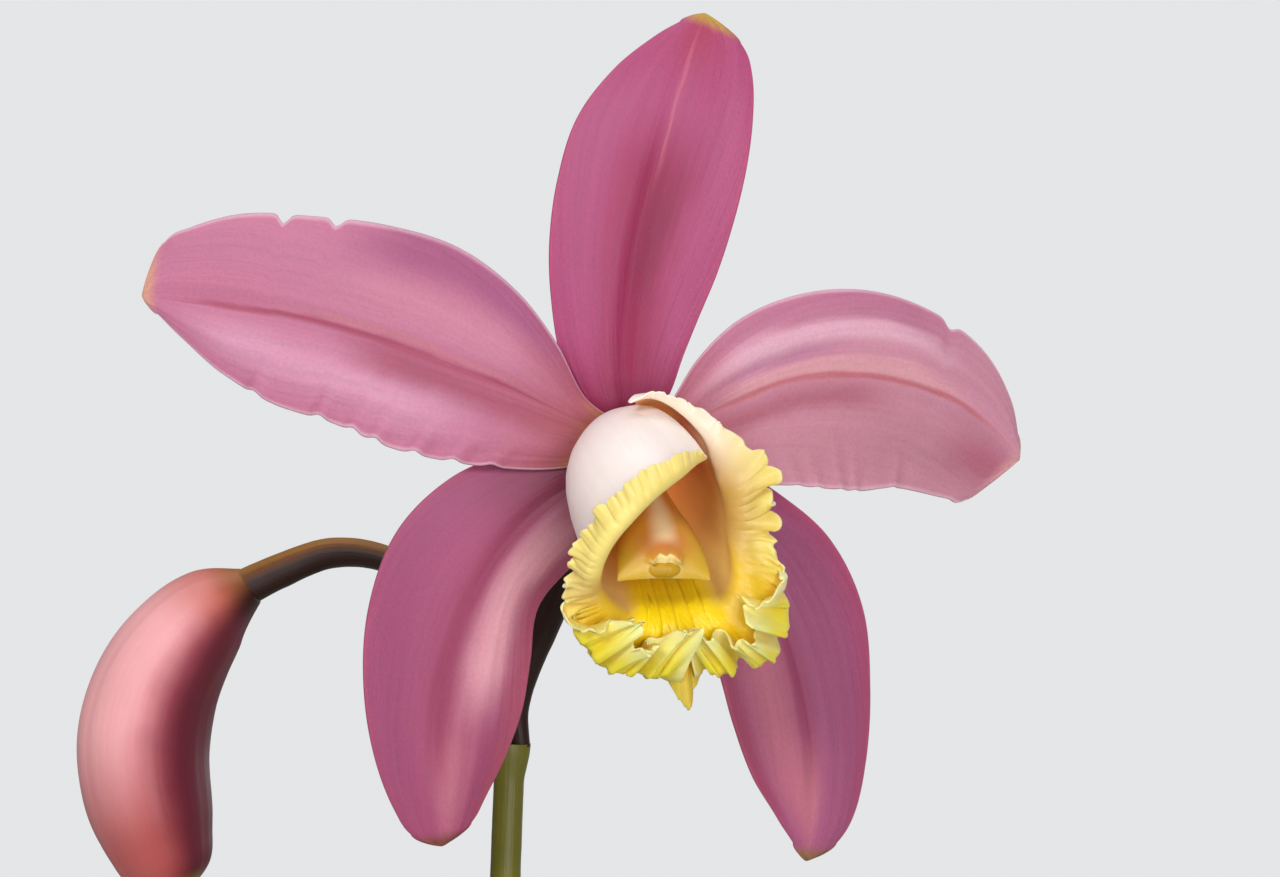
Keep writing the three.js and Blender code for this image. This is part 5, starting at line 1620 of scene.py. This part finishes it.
def make_flower_stems():
    bloom_radii = [(0, STEM_FOOT_RADIUS), (0.12, 1.35), (0.4, OVARY_RADIUS), (1, OVARY_RADIUS)]
    bud_radii = [(0, STEM_FOOT_RADIUS), (0.12, 1.25), (0.45, 1.35), (0.8, 1.85), (1, 2.2)]

    def stalk_radius(t):
        return PEDUNCLE_RADIUS * (1 + 0.35 * soft_step(t, 0.94, 1))

    def bloom_radius(t):
        return read_outline(bloom_radii, t) + CUP_FLARE * soft_step(t, 0.93, 1)

    def bud_radius(t):
        return read_outline(bud_radii, t)

    brown = pedicel_finish()
    stems = [
        ("flower_stalk", STALK_LINE, STALK_ROWS, stalk_radius, stalk_finish(), "peduncle", 6, 0.02),
        ("bloom_stem", BLOOM_STEM_LINE, FLOWER_STEM_ROWS, bloom_radius, brown, "pedicel", 3, 0.07),
        ("bud_stem", BUD_STEM_LINE, FLOWER_STEM_ROWS, bud_radius, brown, "pedicel", 3, 0.03),
    ]
    for name, line, rows, radius, finish, slot, ribs, depth in stems:
        make_stem(
            name, stem_line(line, rows), radius, finish, slot, STALK_SIDES,
            Grain=0.12 * MM, Ribs=ribs, Rib_depth=depth,
        )


SPATHE_HEIGHT = 44
FINE_ROWS = 400  # points on the stalk's line that the spathe is measured along


def make_spathe():
    """A flattened dry sheath round the foot of the stalk, open and torn at its top."""
    line = stem_line(STALK_LINE, FINE_ROWS)
    run = np.concatenate([[0], np.cumsum(np.linalg.norm(np.diff(line, axis=0), axis=1))])
    angle = turns(SPATHE_SIDES)
    wide_at = [(0, 2.9), (0.35, 5.2), (0.75, 5.4), (1, 3.4)]
    thin_at = [(0, 2.9), (0.35, 3.3), (0.75, 3.5), (1, 2.9)]
    tear = 0.9 * np.sin(7 * angle) + 0.5 * np.sin(19 * angle + 1)
    outer, inner = [], []
    for t in np.linspace(0, 1, SPATHE_ROWS):
        middle = np.array([np.interp(t * SPATHE_HEIGHT, run, line[:, k]) for k in range(3)])
        wide, thin = read_outline(wide_at, t), read_outline(thin_at, t)
        slant = (3.5 * np.cos(angle) + tear) * soft_step(t, 0.75, 1)
        pleat = 0.12 * np.sin(23 * angle + 4 * t)
        for rings, inset in ((outer, 0.0), (inner, 0.3)):
            x = np.cos(angle) * (wide - inset - pleat)
            y = np.sin(angle) * (thin - inset - pleat)
            rings.append(middle + np.stack([x, y, slant], 1))
    rings = np.array(outer + inner[::-1])
    put("spathe_paper", loft_mesh("spathe", rings, endless=True), husk_finish(), "spathe", slot="husk")


# Bark: the bed of the solid, roughened, with small chips strewn on it

BARK_VOXEL = 1.3  # size of the bed's faces
BARK_REACH = 49  # chips are strewn up to this far from the pot's axis
CHIP_SHAPE = (1.0, 0.62, 0.3)
CHIP_TILT, HALF_TURN = 0.5, 3.14


def bark_form():
    """Strews chips over a bed and roughens both."""
    form = Form(
        "bark", Density=float, Spacing=float, Smallest=float, Largest=float, Seed=int,
        Roughness=float, Finish=bpy.types.Material,
    )
    bed = form.given("Geometry")
    values = {
        "Mesh": bed, "Selection": form.named("open_top").math("GREATER_THAN", 0.5),
        "Distance Min": form.given("Spacing"), "Density Max": form.given("Density"),
        "Seed": form.given("Seed"),
    }
    points = form.add("GeometryNodeDistributePointsOnFaces", {"distribute_method": "POISSON"}, values)
    values = {"Size": CHIP_SHAPE, "Vertices X": 5, "Vertices Y": 4, "Vertices Z": 3}
    chip = form.add("GeometryNodeMeshCube", None, values)
    place = form.add("GeometryNodeInputPosition")
    rough = form.add("ShaderNodeTexNoise", None, {"Vector": place, "Scale": 2.3, "Detail": 3.0}, output=1)
    nudge = form.add("ShaderNodeVectorMath", {"operation": "SUBTRACT"}, [rough, (0.5, 0.5, 0.5)])
    nudge = form.add("ShaderNodeVectorMath", {"operation": "SCALE"}, {0: nudge, 3: 0.55})
    chip = form.add("GeometryNodeSetPosition", None, {"Geometry": chip, "Offset": nudge})
    turn = form.add(
        "FunctionNodeRandomValue", {"data_type": "FLOAT_VECTOR"},
        {
            0: (-CHIP_TILT, -CHIP_TILT, -HALF_TURN), 1: (CHIP_TILT, CHIP_TILT, HALF_TURN),
            "Seed": form.given("Seed"),
        },
    )
    size = form.add(
        "FunctionNodeRandomValue", {"data_type": "FLOAT"},
        {2: form.given("Smallest"), 3: form.given("Largest"), "Seed": form.given("Seed") + 1}, output=1,
    )
    values = {"Points": points, "Instance": chip, "Rotation": turn, "Scale": size}
    scattered = form.add("GeometryNodeInstanceOnPoints", None, values)
    scattered = form.add("GeometryNodeRealizeInstances", None, [scattered])
    bed_place = form.add("GeometryNodeInputPosition")
    relief = (form.noise(bed_place, 260.0, 5) - 0.5) * form.given("Roughness")
    bed = form.push_out(bed, relief)
    both = form.tree.nodes.new("GeometryNodeJoinGeometry")
    for geometry in (scattered, bed):
        form.tree.links.new(geometry.link, both.inputs[0])
    form.end(Socket(form, both.outputs[0]))
    return form


def make_bark():
    """The bed keeps the solid's form; its faces are split small enough to be roughened."""
    holder = link("bed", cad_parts["bark_mix"].data.copy())
    weld = holder.modifiers.new("weld", "WELD")
    weld.merge_threshold = 0.01 * MM
    remesh = holder.modifiers.new("remesh", "REMESH")
    remesh.mode = "VOXEL"
    remesh.voxel_size = BARK_VOXEL * MM
    bed = shaped(holder)
    places = np.array([v.co for v in bed.vertices]) / MM
    feet = [(*cane["foot"], 8.0) for cane in CANES] + [(*SHOOT_FOOT[:2], 9.0), (*RHIZOME_TIP, 8.0)]
    clear = np.ones(len(places))
    for x, y, reach in feet:
        clear *= np.hypot(places[:, 0] - x, places[:, 1] - y) > reach
    clear *= places[:, 2] > BARK_TOP - 3
    clear *= np.hypot(places[:, 0], places[:, 1]) < BARK_REACH
    bed.attributes.new("open_top", "FLOAT", "POINT").data.foreach_set("value", clear.astype(float))
    finish = bark_finish("bark_cork", rgb(134, 92, 66), rgb(82, 56, 42))
    mesh = bark_form().grow(
        "bark", bed, Density=90000.0, Spacing=4.2 * MM, Smallest=4.0 * MM, Largest=8.5 * MM, Seed=7,
        Roughness=0.9 * MM, Finish=finish,
    )
    put("bark_chips", mesh, finish, "bark_mix", slot="bark")


# Pot

WORN_EDGE = 0.35


def pot_outline():
    """Radius and height along the pot: from its foot up the outside, and down the inside."""
    band_foot = POT_HEIGHT - POT_RIM_DEPTH

    def wall(z):
        return between(POT_FOOT_RADIUS, POT_RIM_RADIUS - 3, z / band_foot)

    def inside(z):
        return wall(min(z, band_foot)) - POT_WALL

    foot, shoulder, rim, mouth = POT_FOOT_RADIUS, wall(band_foot), POT_RIM_RADIUS, inside(POT_HEIGHT)
    return [
        (0.01, 0.6), (foot - 8, 0.5), (foot - 6.5, 0), (foot - 1.8, 0), (foot - 0.6, 0.4), (foot, 1.5),
        (wall(30), 30), (wall(60), 60), (shoulder - 0.3, band_foot - 1.2), (shoulder + 0.6, band_foot),
        (rim - 0.8, band_foot + 0.6), (rim, band_foot + 2), (rim + 0.3, band_foot + 10),
        (rim + 0.5, POT_HEIGHT - 2.6), (rim + 0.1, POT_HEIGHT - 0.9), (rim - 1.4, POT_HEIGHT),
        (mouth + 3, POT_HEIGHT), (mouth + 1.4, POT_HEIGHT - 0.8), (mouth + 0.6, POT_HEIGHT - 3),
        (mouth + 0.1, band_foot), (inside(40), 40), (inside(POT_WALL), POT_WALL), (0.01, POT_WALL),
    ]


def ring(radius, level, sides, x=0, y=0):
    """A level ring of points."""
    angle = turns(sides)
    return np.stack([x + radius * np.cos(angle), y + radius * np.sin(angle), np.full(sides, level)], 1)


def make_pot():
    """A thrown pot: not quite round, with a thick band, a worn edge and drain holes."""
    rings = []
    for radius, level in pot_outline():
        wobble = 0.12 * np.sin(2 * turns(POT_SIDES) + level * 0.05) * (radius > 20)
        rings.append(ring(radius + wobble, level, POT_SIDES))
    holder = link("pot", loft_mesh("pot", rings))
    cutters = []
    for i in range(DRAIN_COUNT):
        turn = (i + 0.5) / DRAIN_COUNT * 2 * math.pi
        x, y = math.cos(turn) * DRAIN_RING, math.sin(turn) * DRAIN_RING
        walls = [ring(DRAIN_RADIUS, level, DRAIN_SIDES, x, y) for level in (-POT_WALL, 3 * POT_WALL)]
        cutters.append(link("drill", loft_mesh("drill", walls)))
        cut = holder.modifiers.new("drain", "BOOLEAN")
        cut.operation = "DIFFERENCE"
        cut.object = cutters[-1]
    bevel = holder.modifiers.new("worn_edge", "BEVEL")
    bevel.width = WORN_EDGE * MM
    bevel.segments = 2
    bevel.limit_method = "ANGLE"
    drilled = shaped(holder, *cutters)
    drilled.shade_smooth()
    put("pot_clay_body", drilled, clay_finish(), "pot", slot="clay")


# Stage, in metres and watts, with the camera's place in the model's millimetres

FLOOR_RADIUS = 1.25
BLOOM_IN_METRES = tuple(BLOOM_CENTRE * MM)
LIGHTS = [
    {"name": "key", "place": (-0.5, -1.35, 1.05), "size": 0.45, "power": 11.3, "tint": (1, 0.985, 0.96)},
    {"name": "fill", "place": (0.45, -1.5, 0.4), "size": 0.7, "power": 12.2, "tint": (0.99, 0.98, 1)},
    {"name": "top", "place": (-0.1, 0.1, 1.6), "size": 0.8, "power": 6, "tint": (1, 1, 1)},
    {"name": "rear", "place": (0.9, 1.3, 0.9), "size": 1.6, "power": 6, "tint": (1, 1, 1)},
]
REAR_AIM = (0, 0, 0.25)
SKY_COLOUR = (0.93, 0.94, 0.95, 1)
SKY_LIGHT, SKY_SEEN = 0.22, 0.62
CAMERA_PLACE = (0.9, -466, 425.3)
CAMERA_LENS = 115
CAMERA_SENSOR = 36


def make_floor():
    mesh = bpy.data.meshes.new("floor")
    mesh.from_pydata(ring(FLOOR_RADIUS, 0, FLOOR_SIDES).tolist(), [], [list(range(FLOOR_SIDES))])
    mesh.materials.append(floor_finish())
    link("floor", mesh)


def make_lights():
    """Soft square lights round the plant."""
    for light in LIGHTS:
        data = bpy.data.lights.new(light["name"], "AREA")
        data.size = light["size"]
        data.energy = light["power"]
        data.color = light["tint"]
        aim = REAR_AIM if light["name"] == "rear" else BLOOM_IN_METRES
        lamp = link(light["name"], data)
        lamp.location = light["place"]
        lamp.rotation_euler = (Vector(aim) - Vector(light["place"])).to_track_quat("-Z", "Y").to_euler()


def make_sky():
    """An even pale backdrop that lights the plant faintly."""
    world = bpy.data.worlds.new("studio")
    bpy.context.scene.world = world
    world.use_nodes = True
    sky = Nodes(world.node_tree)
    backdrop = world.node_tree.nodes["Background"]
    strength = sky.add("ShaderNodeLightPath") * SKY_SEEN + SKY_LIGHT
    sky.tree.links.new(strength.link, backdrop.inputs["Strength"])
    backdrop.inputs["Color"].default_value = SKY_COLOUR


def make_camera():
    """Level, straight at the bloom, 450 mm in front of its petals."""
    data = bpy.data.cameras.new("camera")
    data.lens = CAMERA_LENS
    data.sensor_width = CAMERA_SENSOR
    data.clip_start = 0.01
    camera = link("camera", data)
    camera.location = np.array(CAMERA_PLACE) * MM
    camera.rotation_euler = (math.pi / 2, 0, 0)
    bpy.context.scene.camera = camera


# Assembly
make_camera()
make_lights()
make_sky()
make_floor()

make_tepal("dorsal_sepal", dorsal_sepal_finish(), "sepal")
make_tepal("sepal_left", sepal_left_finish(), "sepal")
make_tepal("sepal_right", sepal_right_finish(), "sepal")
make_tepal("petal_left", petal_left_finish(), "petal")
make_tepal("petal_right", petal_right_finish(), "petal")
make_lip()
make_column()
make_anther()
make_bud()
make_flower_stems()
make_spathe()
make_canes()
make_husks()
make_shoot()
make_rhizome()
make_roots()
make_leaves()
make_bark()
make_pot()

bpy.context.scene.view_settings.view_transform = "Standard"
